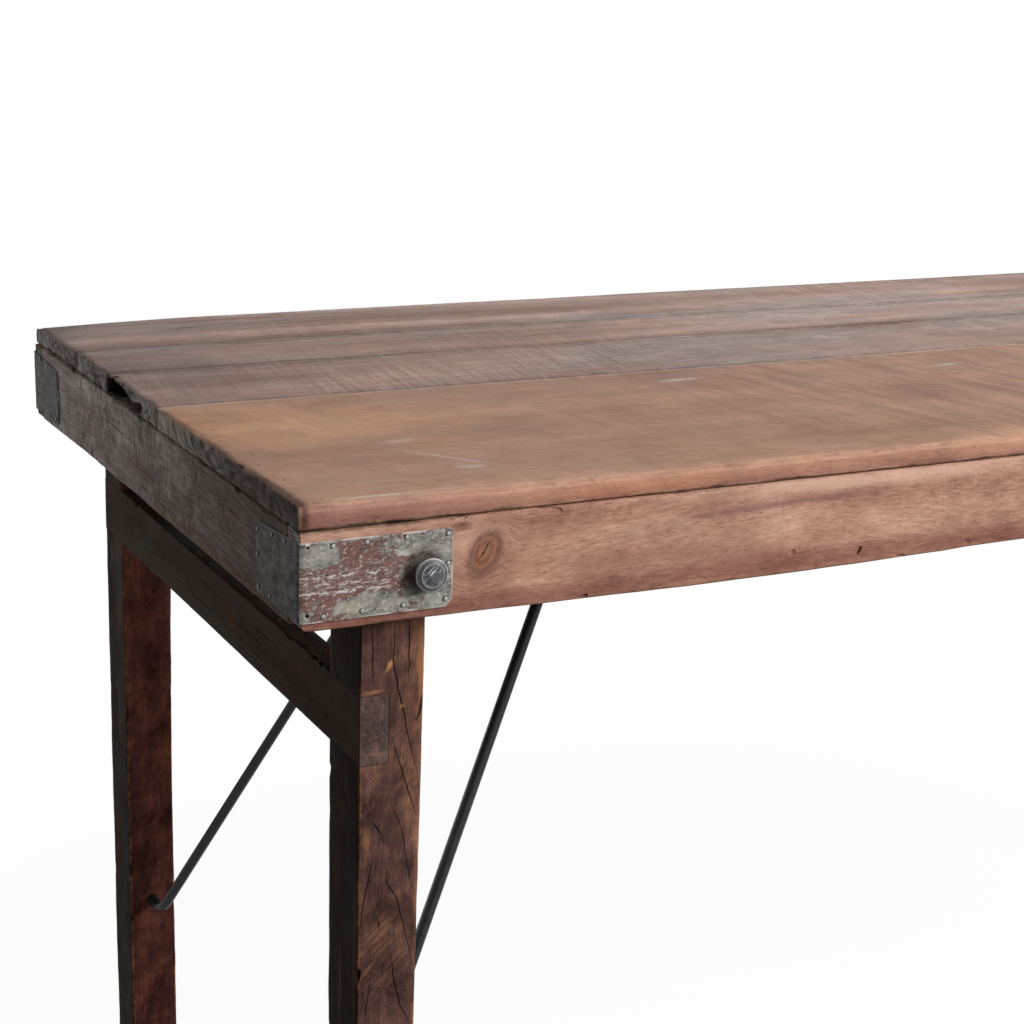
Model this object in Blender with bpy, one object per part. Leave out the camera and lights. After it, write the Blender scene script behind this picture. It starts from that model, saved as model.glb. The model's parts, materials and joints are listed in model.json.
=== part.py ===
# Folding bar table in reclaimed wood: a plank top on an apron frame with steel corner plates,
# two leg frames that fold up under it on pivot bolts, and two bent iron stays that brace them.
# Metres, +Z up. The origin is on the floor under the middle of the top, with +X along its length.

import math

import bmesh
import bpy
from mathutils import Matrix, Vector

# Fits: the gap between pieces that touch, and the slack of a bore round its bolt or rod
FIT_GAP = 0.0003
BORE_SLACK = 0.0004
BORE_OVERRUN = 0.010  # how far a drilling runs past what it goes through

# Plank top
TABLE_LENGTH = 2.200
TABLE_DEPTH = 0.700
TABLE_HEIGHT = 1.050
PLANK_THICKNESS = 0.018
PLANK_SHARES = (0.446, 0.197, 0.151, 0.206)  # of the depth, from the front
PLANK_SEAM = 0.0008
WOOD_EASE = 0.0015  # the eased edge of every sawn piece

# Apron frame
APRON_HEIGHT = 0.071
APRON_THICKNESS = 0.022

# Cross battens under the planks
BATTEN_WIDTH = 0.045
BATTEN_THICKNESS = 0.020
BATTEN_TO_STAY = 0.124  # from an end batten to the stay's crossbar

# Leg frames
LEG_WIDTH = 0.046  # along the table
LEG_DEPTH = 0.057  # across the table
LEG_END_INSET = 0.056  # the leg's outer face from the table's end
LEG_SWING_CLEARANCE = 0.006  # under the planks, as the leg's top end swings past
PIVOT_FROM_LEG_FACE = 0.035  # the bolt's axis from the leg's outer face
RAIL_HEIGHT = 0.052
RAIL_THICKNESS = 0.022
UPPER_RAIL_DROP = 0.151  # the rail's top edge below the table's top
LOWER_RAIL_RISE = 0.220  # the rail's bottom edge above the floor

# Corner plates, bent round the apron's corners
PLATE_GAUGE = 0.0012
PLATE_MARGIN = 0.0075  # the apron that shows above and below a plate
PLATE_PAST_BOLT = 0.0215
PLATE_END_WING = 0.082
PLATE_CORNER_CUT = 0.005
PLATE_BEND_RADIUS = 0.0030

# Pivot bolts, washers and nuts
BOLT_DIAMETER = 0.010
BOLT_HEAD_DIAMETER = 0.024
BOLT_HEAD_HEIGHT = 0.007
BOLT_HEAD_EDGE = 0.0028
BOLT_HEAD_CROWN = 0.0012
BOLT_NECK_DIAMETER = 0.013
BOLT_NECK_HEIGHT = 0.004
BOLT_PAST_NUT = 0.005
WASHER_DIAMETER = 0.020
WASHER_THICKNESS = 0.002
NUT_ACROSS_FLATS = 0.017
NUT_HEIGHT = 0.008

# Iron stays and the saddles that carry them
ROD_DIAMETER = 0.010
STAY_HINGE_INSET = 0.374  # the crossbar from the table's end
STAY_HOLE_DROP = 0.585  # the hole in the leg below the table's top
STAY_HOLE_DEPTH = 0.020
STAY_TOP_HALF = 0.095  # half the crossbar's length, to the corners of the U
STAY_ARM_INSET = 0.029  # the arm's foot from the leg's inner face
STAY_BEND_RADIUS = 0.018
SADDLE_GAUGE = 0.002
SADDLE_WIDTH = 0.020
SADDLE_FOOT = 0.014
SADDLE_FROM_CORNER = 0.040

# Facets of round pieces
ROUND_SIDES = 24  # a multiple of six, so that a nut keeps its corners
BEND_STEPS = 8

SIDES = (("left", -1), ("right", 1))  # the table's ends, along X
ROWS = (("front", -1), ("back", 1))  # its long sides, along Y

# Colours, as (red, green, blue), roughness and metallic
HONEY_PLANK = ((0.30, 0.155, 0.075), 0.55, 0.0)
GREY_PLANK = ((0.20, 0.125, 0.085), 0.65, 0.0)
APRON_WOOD = ((0.26, 0.125, 0.065), 0.60, 0.0)
END_WOOD = ((0.13, 0.090, 0.065), 0.75, 0.0)
LEG_WOOD = ((0.12, 0.050, 0.030), 0.60, 0.0)
RAIL_WOOD = ((0.060, 0.038, 0.027), 0.65, 0.0)
HIDDEN_WOOD = ((0.17, 0.110, 0.070), 0.75, 0.0)
PLATE_STEEL = ((0.27, 0.25, 0.23), 0.50, 0.8)
BOLT_STEEL = ((0.10, 0.105, 0.11), 0.40, 0.9)
BLACK_IRON = ((0.012, 0.012, 0.013), 0.45, 0.6)

# Derived places, by distance from the middle of the table
half_length = TABLE_LENGTH / 2
half_depth = TABLE_DEPTH / 2
plank_bottom = TABLE_HEIGHT - PLANK_THICKNESS
apron_top = plank_bottom - FIT_GAP
apron_bottom = apron_top - APRON_HEIGHT
apron_setback = PLATE_GAUGE + FIT_GAP  # so that the plates are flush with the planks
apron_outer_x = half_length - apron_setback
apron_outer_y = half_depth - apron_setback
apron_inner_x = apron_outer_x - APRON_THICKNESS
apron_inner_y = apron_outer_y - APRON_THICKNESS
leg_outer_x = half_length - LEG_END_INSET
leg_inner_x = leg_outer_x - LEG_WIDTH
leg_middle_x = (leg_outer_x + leg_inner_x) / 2
leg_outer_y = apron_inner_y - WASHER_THICKNESS - 2 * FIT_GAP
leg_inner_y = leg_outer_y - LEG_DEPTH

# A folded leg lies flush with the apron's lower edge, which sets the height of its pivot.
pivot_x = leg_outer_x - PIVOT_FROM_LEG_FACE
pivot_z = apron_bottom + PIVOT_FROM_LEG_FACE
leg_swing_radius = plank_bottom - pivot_z - LEG_SWING_CLEARANCE
leg_top = pivot_z + math.sqrt(leg_swing_radius ** 2 - (LEG_WIDTH - PIVOT_FROM_LEG_FACE) ** 2)
upper_rail_bottom = TABLE_HEIGHT - UPPER_RAIL_DROP - RAIL_HEIGHT

hinge_x = half_length - STAY_HINGE_INSET
hinge_z = plank_bottom - FIT_GAP - ROD_DIAMETER / 2
stay_run = leg_middle_x - hinge_x
stay_fall = STAY_HOLE_DROP - (TABLE_HEIGHT - hinge_z)
stay_reach = math.hypot(stay_run, stay_fall)
stay_lean = math.atan2(stay_run, stay_fall)


def clear_scene():
    for old in list(bpy.data.objects):
        bpy.data.objects.remove(old, do_unlink=True)


def give_material(obj, look):
    colour, roughness, metallic = look
    material = bpy.data.materials.new(obj.name + "_finish")
    material.use_nodes = True
    shader = material.node_tree.nodes["Principled BSDF"]
    shader.inputs["Base Color"].default_value = (*colour, 1.0)
    shader.inputs["Roughness"].default_value = roughness
    shader.inputs["Metallic"].default_value = metallic
    obj.data.materials.append(material)


def add_object(name, data, place, parent=None, turn=(0.0, 0.0, 0.0)):
    obj = bpy.data.objects.new(name, data)
    bpy.context.scene.collection.objects.link(obj)
    obj.parent = parent
    obj.location = Vector(place) - (parent.location if parent else Vector())
    obj.rotation_euler = turn
    return obj


def add_pivot(name, place):
    return add_object(name, None, place)


def mesh_from(name, bm, smooth_angle=None):
    mesh = bpy.data.meshes.new(name)
    bmesh.ops.recalc_face_normals(bm, faces=bm.faces)
    bm.to_mesh(mesh)
    bm.free()
    if smooth_angle:
        mesh.shade_smooth()
        mesh.set_sharp_from_angle(angle=smooth_angle)
    return mesh


def block_mesh(name, size, ease):
    bm = bmesh.new()
    bmesh.ops.create_cube(bm, size=1.0, matrix=Matrix.Diagonal((*size, 1.0)))
    if ease:
        bmesh.ops.bevel(bm, geom=bm.edges[:], offset=ease, segments=2, profile=0.5, affect="EDGES")
    return mesh_from(name, bm)


def add_block(name, low, high, look, parent=None, ease=WOOD_EASE):
    low, high = Vector(low), Vector(high)
    obj = add_object(name, block_mesh(name, high - low, ease), (low + high) / 2, parent)
    give_material(obj, look)
    return obj


def cut(target, cutter):
    tool = target.modifiers.new("cut_" + cutter.name, "BOOLEAN")
    tool.operation = "DIFFERENCE"
    tool.solver = "EXACT"
    tool.object = cutter


def as_cutter(obj):
    obj.hide_render = True
    obj.display_type = "WIRE"
    return obj


def add_block_cutter(name, low, high, parent=None):
    low, high = Vector(low), Vector(high)
    return as_cutter(add_object(name, block_mesh(name, high - low, 0), (low + high) / 2, parent))


def add_bore_cutter(name, place, diameter, length, parent=None):
    # a round cutter along Y, centred on its place
    bm = bmesh.new()
    bmesh.ops.create_cone(
        bm, cap_ends=True, segments=ROUND_SIDES, radius1=diameter / 2, radius2=diameter / 2, depth=length
    )
    quarter_turn = (math.pi / 2, 0.0, 0.0)
    return as_cutter(add_object(name, mesh_from(name, bm), place, parent, quarter_turn))


def arc(centre, radius, start, end, steps):
    points = []
    for step in range(steps + 1):
        angle = start + (end - start) * step / steps
        points.append((centre[0] + radius * math.cos(angle), centre[1] + radius * math.sin(angle)))
    return points


def turned_mesh(name, profile):
    # (radius, height) points from the pole at the top to the pole at the bottom, round local Z
    bm = bmesh.new()
    rings = []
    for radius, height in profile:
        if radius == 0:
            rings.append([bm.verts.new((0, 0, height))] * ROUND_SIDES)
            continue
        ring = []
        for step in range(ROUND_SIDES):
            angle = 2 * math.pi * step / ROUND_SIDES
            ring.append(bm.verts.new((radius * math.cos(angle), radius * math.sin(angle), height)))
        rings.append(ring)
    for upper, lower in zip(rings, rings[1:]):
        for step in range(ROUND_SIDES):
            after = (step + 1) % ROUND_SIDES
            corners = []
            for corner in (upper[step], lower[step], lower[after], upper[after]):
                if corner not in corners:
                    corners.append(corner)
            bm.faces.new(corners)
    return mesh_from(name, bm, math.radians(35))


def sleeve_mesh(name, outer_radius, inner_radius, height):
    # a ring round local Z, from 0 up to its height, whose outline follows outer_radius(angle)
    bm = bmesh.new()
    rows = []
    for radius_at, level in (
        (outer_radius, 0),
        (outer_radius, height),
        (lambda angle: inner_radius, height),
        (lambda angle: inner_radius, 0),
    ):
        row = []
        for step in range(ROUND_SIDES):
            angle = 2 * math.pi * step / ROUND_SIDES
            radius = radius_at(angle)
            row.append(bm.verts.new((radius * math.cos(angle), radius * math.sin(angle), level)))
        rows.append(row)
    for row, following in zip(rows, rows[1:] + rows[:1]):
        for step in range(ROUND_SIDES):
            after = (step + 1) % ROUND_SIDES
            bm.faces.new((row[step], row[after], following[after], following[step]))
    return mesh_from(name, bm, math.radians(35))


def extruded_mesh(name, outline, axis, length, corner_cut=0.0, cut_test=None):
    # a flat outline pushed along an axis, centred on it, with the edges that cut_test picks clipped
    bm = bmesh.new()
    lift = Vector(axis) * length
    face = bm.faces.new([bm.verts.new(Vector(point) - lift / 2) for point in outline])
    made = bmesh.ops.extrude_face_region(bm, geom=[face])
    moved = [item for item in made["geom"] if isinstance(item, bmesh.types.BMVert)]
    bmesh.ops.translate(bm, verts=moved, vec=lift)
    if cut_test:
        picked = [edge for edge in bm.edges if cut_test(edge)]
        bmesh.ops.bevel(bm, geom=picked, offset=corner_cut, segments=1, profile=0.5, affect="EDGES")
    return mesh_from(name, bm)


def build_planks():
    names = ("front_plank", "middle_plank", "inner_back_plank", "back_plank")
    looks = (HONEY_PLANK, GREY_PLANK, GREY_PLANK, GREY_PLANK)
    usable = TABLE_DEPTH - PLANK_SEAM * (len(names) - 1)
    front = -half_depth
    for name, look, share in zip(names, looks, PLANK_SHARES):
        back = front + usable * share / sum(PLANK_SHARES)
        low = (-half_length, front, plank_bottom)
        add_block(name, low, (half_length, back, TABLE_HEIGHT), look)
        front = back + PLANK_SEAM


def build_battens():
    top = plank_bottom - FIT_GAP
    side_batten_x = hinge_x + BATTEN_TO_STAY
    reach = apron_inner_y - FIT_GAP
    for name, x in (("left_batten", -side_batten_x), ("centre_batten", 0.0), ("right_batten", side_batten_x)):
        low = (x - BATTEN_WIDTH / 2, -reach, top - BATTEN_THICKNESS)
        add_block(name, low, (x + BATTEN_WIDTH / 2, reach, top), HIDDEN_WOOD)


def build_aprons(bores):
    for row, sign in ROWS:
        near, far = sorted((sign * apron_outer_y, sign * apron_inner_y))
        low = (-apron_outer_x, near, apron_bottom)
        apron = add_block(row + "_apron", low, (apron_outer_x, far, apron_top), APRON_WOOD)
        for side, _ in SIDES:
            cut(apron, bores[side, row])
    for side, sign in SIDES:
        near, far = sorted((sign * apron_outer_x, sign * apron_inner_x))
        reach = apron_inner_y - FIT_GAP
        low = (near, -reach, apron_bottom)
        add_block(side + "_end_apron", low, (far, reach, apron_top), END_WOOD)


def build_pivot_bores():
    # one drilling goes through plate, apron and leg at each corner
    bores = {}
    diameter = BOLT_DIAMETER + 2 * BORE_SLACK
    length = half_depth - leg_inner_y + 2 * BORE_OVERRUN
    middle_y = (half_depth + leg_inner_y) / 2
    for side, sign in SIDES:
        for row, way in ROWS:
            name = row + "_" + side + "_pivot_bore"
            place = (sign * pivot_x, way * middle_y, pivot_z)
            bores[side, row] = add_bore_cutter(name, place, diameter, length)
    return bores


def plate_outline(sign, way):
    # the bent sheet seen from above: along the front, round the corner and along the end
    front_reach = half_length - pivot_x + PLATE_PAST_BOLT
    inner_radius = PLATE_BEND_RADIUS - PLATE_GAUGE
    turn = (PLATE_BEND_RADIUS, PLATE_BEND_RADIUS)
    outer = arc(turn, PLATE_BEND_RADIUS, 1.5 * math.pi, math.pi, BEND_STEPS)
    inner = arc(turn, inner_radius, math.pi, 1.5 * math.pi, BEND_STEPS)
    from_corner = [(front_reach, 0.0)] + outer + [(0.0, PLATE_END_WING)]
    from_corner += [(PLATE_GAUGE, PLATE_END_WING)] + inner + [(front_reach, PLATE_GAUGE)]
    points = []
    for along, across in from_corner:
        points.append((sign * (half_length - along), way * (half_depth - across), 0.0))
    return points


def is_wing_tip(edge, limit_x, limit_y):
    # the short edges through the sheet at the two free ends of a plate
    start, end = (vert.co for vert in edge.verts)
    if abs(start.z - end.z) > FIT_GAP:
        return False
    at_front_tip = abs(start.x - limit_x) < FIT_GAP and abs(end.x - limit_x) < FIT_GAP
    at_end_tip = abs(start.y - limit_y) < FIT_GAP and abs(end.y - limit_y) < FIT_GAP
    return at_front_tip or at_end_tip


def build_plates(bores):
    height = APRON_HEIGHT - 2 * PLATE_MARGIN
    middle = (apron_top + apron_bottom) / 2
    for side, sign in SIDES:
        for row, way in ROWS:
            name = row + "_" + side + "_corner_plate"
            tip_x = sign * (pivot_x - PLATE_PAST_BOLT)
            tip_y = way * (half_depth - PLATE_END_WING)
            mesh = extruded_mesh(
                name,
                plate_outline(sign, way),
                (0, 0, 1),
                height,
                PLATE_CORNER_CUT,
                lambda edge: is_wing_tip(edge, tip_x, tip_y),
            )
            plate = add_object(name, mesh, (0, 0, middle))
            give_material(plate, PLATE_STEEL)
            cut(plate, bores[side, row])


def bolt_profile(tip):
    # heights count outwards from the plate's face, and the shank runs inwards from it
    seat = FIT_GAP
    neck_top = seat + BOLT_NECK_HEIGHT
    rim = BOLT_HEAD_DIAMETER / 2
    shoulder = neck_top + BOLT_HEAD_HEIGHT - BOLT_HEAD_CROWN
    edge_centre = (rim - BOLT_HEAD_EDGE, shoulder - BOLT_HEAD_EDGE)
    shank = BOLT_DIAMETER / 2
    tip_chamfer = BOLT_DIAMETER / 10
    profile = []
    for share in (0.0, 0.5):  # of the way from the middle to the rounded edge, over a low crown
        profile.append((edge_centre[0] * share, shoulder + BOLT_HEAD_CROWN * (1 - share ** 2)))
    profile += arc(edge_centre, BOLT_HEAD_EDGE, math.pi / 2, 0.0, BEND_STEPS // 2)
    profile += [(rim, neck_top + BOLT_HEAD_CROWN), (rim - BOLT_HEAD_CROWN, neck_top)]
    profile += [(BOLT_NECK_DIAMETER / 2, neck_top), (BOLT_NECK_DIAMETER / 2, seat), (shank, seat)]
    profile += [(shank, tip + tip_chamfer), (shank - tip_chamfer, tip), (0.0, tip)]
    return profile


def hex_radius(angle):
    sector = math.pi / 3
    return NUT_ACROSS_FLATS / 2 / math.cos(angle % sector - sector / 2)


def build_pivots():
    bore_radius = BOLT_DIAMETER / 2 + BORE_SLACK
    spacer_y = apron_inner_y - FIT_GAP
    nut_washer_y = leg_inner_y - FIT_GAP
    nut_y = nut_washer_y - WASHER_THICKNESS - FIT_GAP
    bolt_tip = nut_y - NUT_HEIGHT - BOLT_PAST_NUT - half_depth

    def washer_radius(angle):
        return WASHER_DIAMETER / 2

    for side, sign in SIDES:
        for row, way in ROWS:
            corner = row + "_" + side
            outwards = (-way * math.pi / 2, 0.0, 0.0)  # turns local Z away from the table
            inwards = (way * math.pi / 2, 0.0, 0.0)
            name = corner + "_pivot_bolt"
            mesh = turned_mesh(name, bolt_profile(bolt_tip))
            bolt = add_object(name, mesh, (sign * pivot_x, way * half_depth, pivot_z), None, outwards)
            give_material(bolt, BOLT_STEEL)
            for kind, y, radius_at, height in (
                ("_spacer_washer", spacer_y, washer_radius, WASHER_THICKNESS),
                ("_nut_washer", nut_washer_y, washer_radius, WASHER_THICKNESS),
                ("_pivot_nut", nut_y, hex_radius, NUT_HEIGHT),
            ):
                name = corner + kind
                mesh = sleeve_mesh(name, radius_at, bore_radius, height)
                ring = add_object(name, mesh, (sign * pivot_x, way * y, pivot_z), None, inwards)
                give_material(ring, BOLT_STEEL)


def build_leg_frame(side, sign, bores):
    # the legs and rails of one end, carried by an empty on the pivot bolts' axis
    pivot = add_pivot(side + "_leg_pivot", (sign * pivot_x, 0.0, pivot_z))
    rails = (("_upper_rail", upper_rail_bottom), ("_lower_rail", LOWER_RAIL_RISE))
    rail_near, rail_far = sorted((sign * leg_outer_x, sign * (leg_outer_x - RAIL_THICKNESS)))
    housings = []
    for kind, bottom in rails:
        low = Vector((rail_near, -leg_outer_y, bottom))
        high = Vector((rail_far, leg_outer_y, bottom + RAIL_HEIGHT))
        add_block(side + kind, low, high, RAIL_WOOD, pivot)
        # the housing is open at the leg's outer face and both its sides
        gap = Vector((FIT_GAP, LEG_DEPTH, FIT_GAP))
        housings.append(add_block_cutter(side + kind + "_housing", low - gap, high + gap, pivot))
    near, far = sorted((sign * leg_outer_x, sign * leg_inner_x))
    for row, way in ROWS:
        front, back = sorted((way * leg_outer_y, way * leg_inner_y))
        name = row + "_" + side + "_leg"
        leg = add_block(name, (near, front, 0.0), (far, back, leg_top), LEG_WOOD, pivot)
        for housing in housings:
            cut(leg, housing)
        cut(leg, bores[side, row])
        hole_at = (sign * leg_middle_x, way * leg_inner_y, TABLE_HEIGHT - STAY_HOLE_DROP)
        hole_width = ROD_DIAMETER + 2 * BORE_SLACK
        cut(leg, add_bore_cutter(name + "_stay_hole", hole_at, hole_width, 2 * STAY_HOLE_DEPTH, pivot))


def rounded_path(corners, radius):
    # the corners of a bent rod, each replaced by an arc of the bend radius
    path = [corners[0]]
    for before, corner, after in zip(corners, corners[1:], corners[2:]):
        back = (before - corner).normalized()
        ahead = (after - corner).normalized()
        half_angle = back.angle(ahead) / 2
        centre = corner + (back + ahead).normalized() * radius / math.sin(half_angle)
        start = corner + back * radius / math.tan(half_angle) - centre
        end = corner + ahead * radius / math.tan(half_angle) - centre
        for step in range(BEND_STEPS + 1):
            path.append(centre + start.slerp(end, step / BEND_STEPS) * radius)
    path.append(corners[-1])
    return path


def build_stay(side, sign):
    # a rod bent to a U: its crossbar lies on the hinge axis and its feet turn out towards the legs
    foot_y = leg_inner_y - FIT_GAP
    arm_foot_y = leg_inner_y - STAY_ARM_INSET
    half = [(foot_y, -stay_reach), (arm_foot_y, -stay_reach), (STAY_TOP_HALF, 0.0)]
    corners = [Vector((0.0, y, z)) for y, z in half]
    corners += [Vector((0.0, -y, z)) for y, z in reversed(half)]
    path = rounded_path(corners, STAY_BEND_RADIUS)
    name = side + "_stay"
    curve = bpy.data.curves.new(name, "CURVE")
    curve.dimensions = "3D"
    curve.bevel_depth = ROD_DIAMETER / 2
    curve.bevel_resolution = 3
    curve.use_fill_caps = True
    spline = curve.splines.new("POLY")
    spline.points.add(len(path) - 1)
    for point, place in zip(spline.points, path):
        point.co = (*place, 1.0)
    lean = (0.0, -sign * stay_lean, 0.0)
    give_material(add_object(name, curve, (sign * hinge_x, 0.0, hinge_z), None, lean), BLACK_IRON)


def saddle_outline():
    # a strap seen from the side: a foot, a hump under the rod, and the other foot
    inner = ROD_DIAMETER / 2 + FIT_GAP
    outer = inner + SADDLE_GAUGE
    seat = ROD_DIAMETER / 2  # the height of the feet's top faces over the rod's axis
    foot_end = outer + SADDLE_FOOT
    hump_inner = arc((0.0, 0.0), inner, math.pi, 2 * math.pi, BEND_STEPS)
    hump_outer = arc((0.0, 0.0), outer, 2 * math.pi, math.pi, BEND_STEPS)
    points = [(-foot_end, seat), (-inner, seat)] + hump_inner + [(inner, seat), (foot_end, seat)]
    points += [(foot_end, seat - SADDLE_GAUGE), (outer, seat - SADDLE_GAUGE)] + hump_outer
    points += [(-outer, seat - SADDLE_GAUGE), (-foot_end, seat - SADDLE_GAUGE)]
    return [(x, 0.0, z) for x, z in points]


def build_saddles():
    for side, sign in SIDES:
        for row, way in ROWS:
            name = row + "_" + side + "_stay_saddle"
            mesh = extruded_mesh(name, saddle_outline(), (0, 1, 0), SADDLE_WIDTH)
            y = way * (STAY_TOP_HALF - SADDLE_FROM_CORNER)
            saddle = add_object(name, mesh, (sign * hinge_x, y, hinge_z))
            give_material(saddle, BLACK_IRON)


def main():
    clear_scene()
    bores = build_pivot_bores()
    build_planks()
    build_battens()
    build_aprons(bores)
    build_plates(bores)
    build_pivots()
    build_saddles()
    for side, sign in SIDES:
        build_leg_frame(side, sign, bores)
        build_stay(side, sign)


main()
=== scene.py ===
import json
import math
import random
from contextlib import contextmanager

import bmesh
import bpy
from mathutils import Matrix, Vector

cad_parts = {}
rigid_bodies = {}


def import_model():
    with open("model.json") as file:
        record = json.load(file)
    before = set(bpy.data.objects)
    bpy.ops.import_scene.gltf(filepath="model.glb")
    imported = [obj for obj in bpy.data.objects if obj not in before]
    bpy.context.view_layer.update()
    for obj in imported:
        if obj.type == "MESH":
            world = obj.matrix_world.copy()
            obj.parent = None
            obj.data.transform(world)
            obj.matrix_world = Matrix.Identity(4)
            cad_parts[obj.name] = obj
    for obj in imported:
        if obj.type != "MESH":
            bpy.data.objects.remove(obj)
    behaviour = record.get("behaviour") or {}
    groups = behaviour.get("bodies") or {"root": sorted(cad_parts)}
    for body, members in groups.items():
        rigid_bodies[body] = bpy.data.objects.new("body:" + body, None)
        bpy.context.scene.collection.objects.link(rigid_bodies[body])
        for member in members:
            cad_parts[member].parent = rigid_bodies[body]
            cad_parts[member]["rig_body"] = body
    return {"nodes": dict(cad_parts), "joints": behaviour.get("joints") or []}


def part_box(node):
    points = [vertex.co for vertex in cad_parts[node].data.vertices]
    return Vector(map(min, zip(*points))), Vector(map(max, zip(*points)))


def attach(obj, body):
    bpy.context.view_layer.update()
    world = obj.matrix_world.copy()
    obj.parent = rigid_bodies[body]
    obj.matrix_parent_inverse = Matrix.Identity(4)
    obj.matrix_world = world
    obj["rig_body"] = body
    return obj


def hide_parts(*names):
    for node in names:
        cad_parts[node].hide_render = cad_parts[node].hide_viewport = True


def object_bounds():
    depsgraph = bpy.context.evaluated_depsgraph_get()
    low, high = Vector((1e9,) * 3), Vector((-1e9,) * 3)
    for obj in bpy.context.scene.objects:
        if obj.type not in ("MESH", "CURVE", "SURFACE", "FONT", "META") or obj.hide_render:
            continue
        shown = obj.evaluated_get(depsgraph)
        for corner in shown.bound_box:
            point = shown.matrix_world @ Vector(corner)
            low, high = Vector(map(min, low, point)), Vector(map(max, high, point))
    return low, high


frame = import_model()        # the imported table, in metres, with its front along -Y
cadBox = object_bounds()
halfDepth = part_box("back_plank")[1].y  # of the plank top and of the frame under it
chance = random.Random(41)  # every draw below comes from here, in order

fitGap = 0.0003      # between pieces that touch
boreRadius = 0.0054  # round a pivot bolt
sides = {"left": -1, "right": 1}
rows = {"front": -1, "back": 1}
corners = [(row, side) for side in sides for row in rows]


# Selecting, placing and carving

def selectOnly(piece):
    bpy.ops.object.select_all(action="DESELECT")
    piece.select_set(True)
    bpy.context.view_layer.objects.active = piece


def settle(piece):
    # puts the piece's place, turn and scale into its mesh
    selectOnly(piece)
    bpy.ops.object.transform_apply(location=True, rotation=True, scale=True)
    return piece


@contextmanager
def editMode():
    # edit mode with everything selected, and back
    bpy.ops.object.mode_set(mode="EDIT")
    bpy.ops.mesh.select_all(action="SELECT")
    yield
    bpy.ops.object.mode_set(mode="OBJECT")


def applyModifiers(piece):
    selectOnly(piece)
    for modifier in list(piece.modifiers):
        bpy.ops.object.modifier_apply(modifier=modifier.name)


def joinPieces(name, pieces):
    bpy.ops.object.select_all(action="DESELECT")
    for piece in pieces:
        piece.select_set(True)
    bpy.context.view_layer.objects.active = pieces[0]
    if len(pieces) > 1:
        bpy.ops.object.join()
    pieces[0].name = name
    return pieces[0]


def copyPiece(piece, turn, place):
    made = piece.copy()
    made.data = piece.data.copy()
    bpy.context.scene.collection.objects.link(made)
    made.matrix_world = Matrix.Translation(place) @ turn.to_4x4()
    return settle(made)


def smooth(piece, degrees=38):
    selectOnly(piece)
    bpy.ops.object.shade_smooth_by_angle(angle=math.radians(degrees))


def addBlock(name, low, high):
    bpy.ops.object.select_all(action="DESELECT")
    bpy.ops.mesh.primitive_cube_add(size=1, location=(low + high) / 2, scale=high - low)
    block = bpy.context.object
    block.name = name
    return settle(block)


def pickEdges(piece, test):
    bpy.ops.mesh.select_all(action="DESELECT")
    mesh = bmesh.from_edit_mesh(piece.data)
    for edge in mesh.edges:
        if test(edge.verts[0].co, edge.verts[1].co):
            edge.select_set(True)
    bmesh.update_edit_mesh(piece.data)


def addRod(name, place, axis, radius, length, facets):
    bpy.ops.object.select_all(action="DESELECT")
    bpy.ops.mesh.primitive_cylinder_add(vertices=facets, radius=radius, depth=length, location=place)
    rod = bpy.context.object
    rod.name = name
    rod.rotation_euler = Vector(axis).to_track_quat("Z", "Y").to_euler()
    return settle(rod)


def apart(a, b):
    # whether two pieces' boxes keep clear of each other
    for axis in range(3):
        lowA, highA = a.bound_box[0][axis], a.bound_box[6][axis]
        lowB, highB = b.bound_box[0][axis], b.bound_box[6][axis]
        if highA < lowB or highB < lowA:
            return True
    return False


def carve(piece, cutters):
    # takes the cutters out of the piece, in batches that don't touch each other, and clears them away
    batches = []
    for cutter in cutters:
        home = next((batch for batch in batches if all(apart(cutter, other) for other in batch)), None)
        if home is None:
            home = []
            batches.append(home)
        home.append(cutter)
    for batch in batches:
        cutter = joinPieces("cutter", batch)
        tool = piece.modifiers.new("carve", "BOOLEAN")
        tool.operation = "DIFFERENCE"
        tool.solver = "MANIFOLD"
        tool.object = cutter
        applyModifiers(piece)
        bpy.data.objects.remove(cutter)


def addDent(place, reach, grit=0.35):
    # a rough pebble that bites a chip out of wood
    bpy.ops.object.select_all(action="DESELECT")
    bpy.ops.mesh.primitive_ico_sphere_add(subdivisions=3, radius=1.0)
    dent = bpy.context.object
    texture = bpy.data.textures.new("dentGrit", "CLOUDS")
    texture.noise_scale = 0.55
    rough = dent.modifiers.new("rough", "DISPLACE")
    rough.texture = texture
    rough.texture_coords = "GLOBAL"
    rough.strength = grit
    dent.location = [chance.uniform(0, 40) for _ in range(3)]  # another part of the noise for each
    bpy.context.view_layer.update()
    applyModifiers(dent)
    dent.location = place
    dent.scale = reach
    dent.rotation_euler = [chance.uniform(-0.3, 0.3) for _ in range(3)]
    return settle(dent)


def anyReach(*spans):
    # a size drawn for each way, from its least to its most
    return [chance.uniform(*span) for span in spans]


def wander(points, pace, jitter):
    # a hand-drawn line through a few points, with small kinks
    line = [Vector(points[0])]
    for start, end in zip(points, points[1:]):
        start, end = Vector(start), Vector(end)
        count = max(1, round((end - start).length / pace))
        for step in range(1, count + 1):
            kink = Vector((chance.uniform(-jitter, jitter), chance.uniform(-jitter, jitter)))
            line.append(start.lerp(end, step / count) + kink)
    return line


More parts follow.
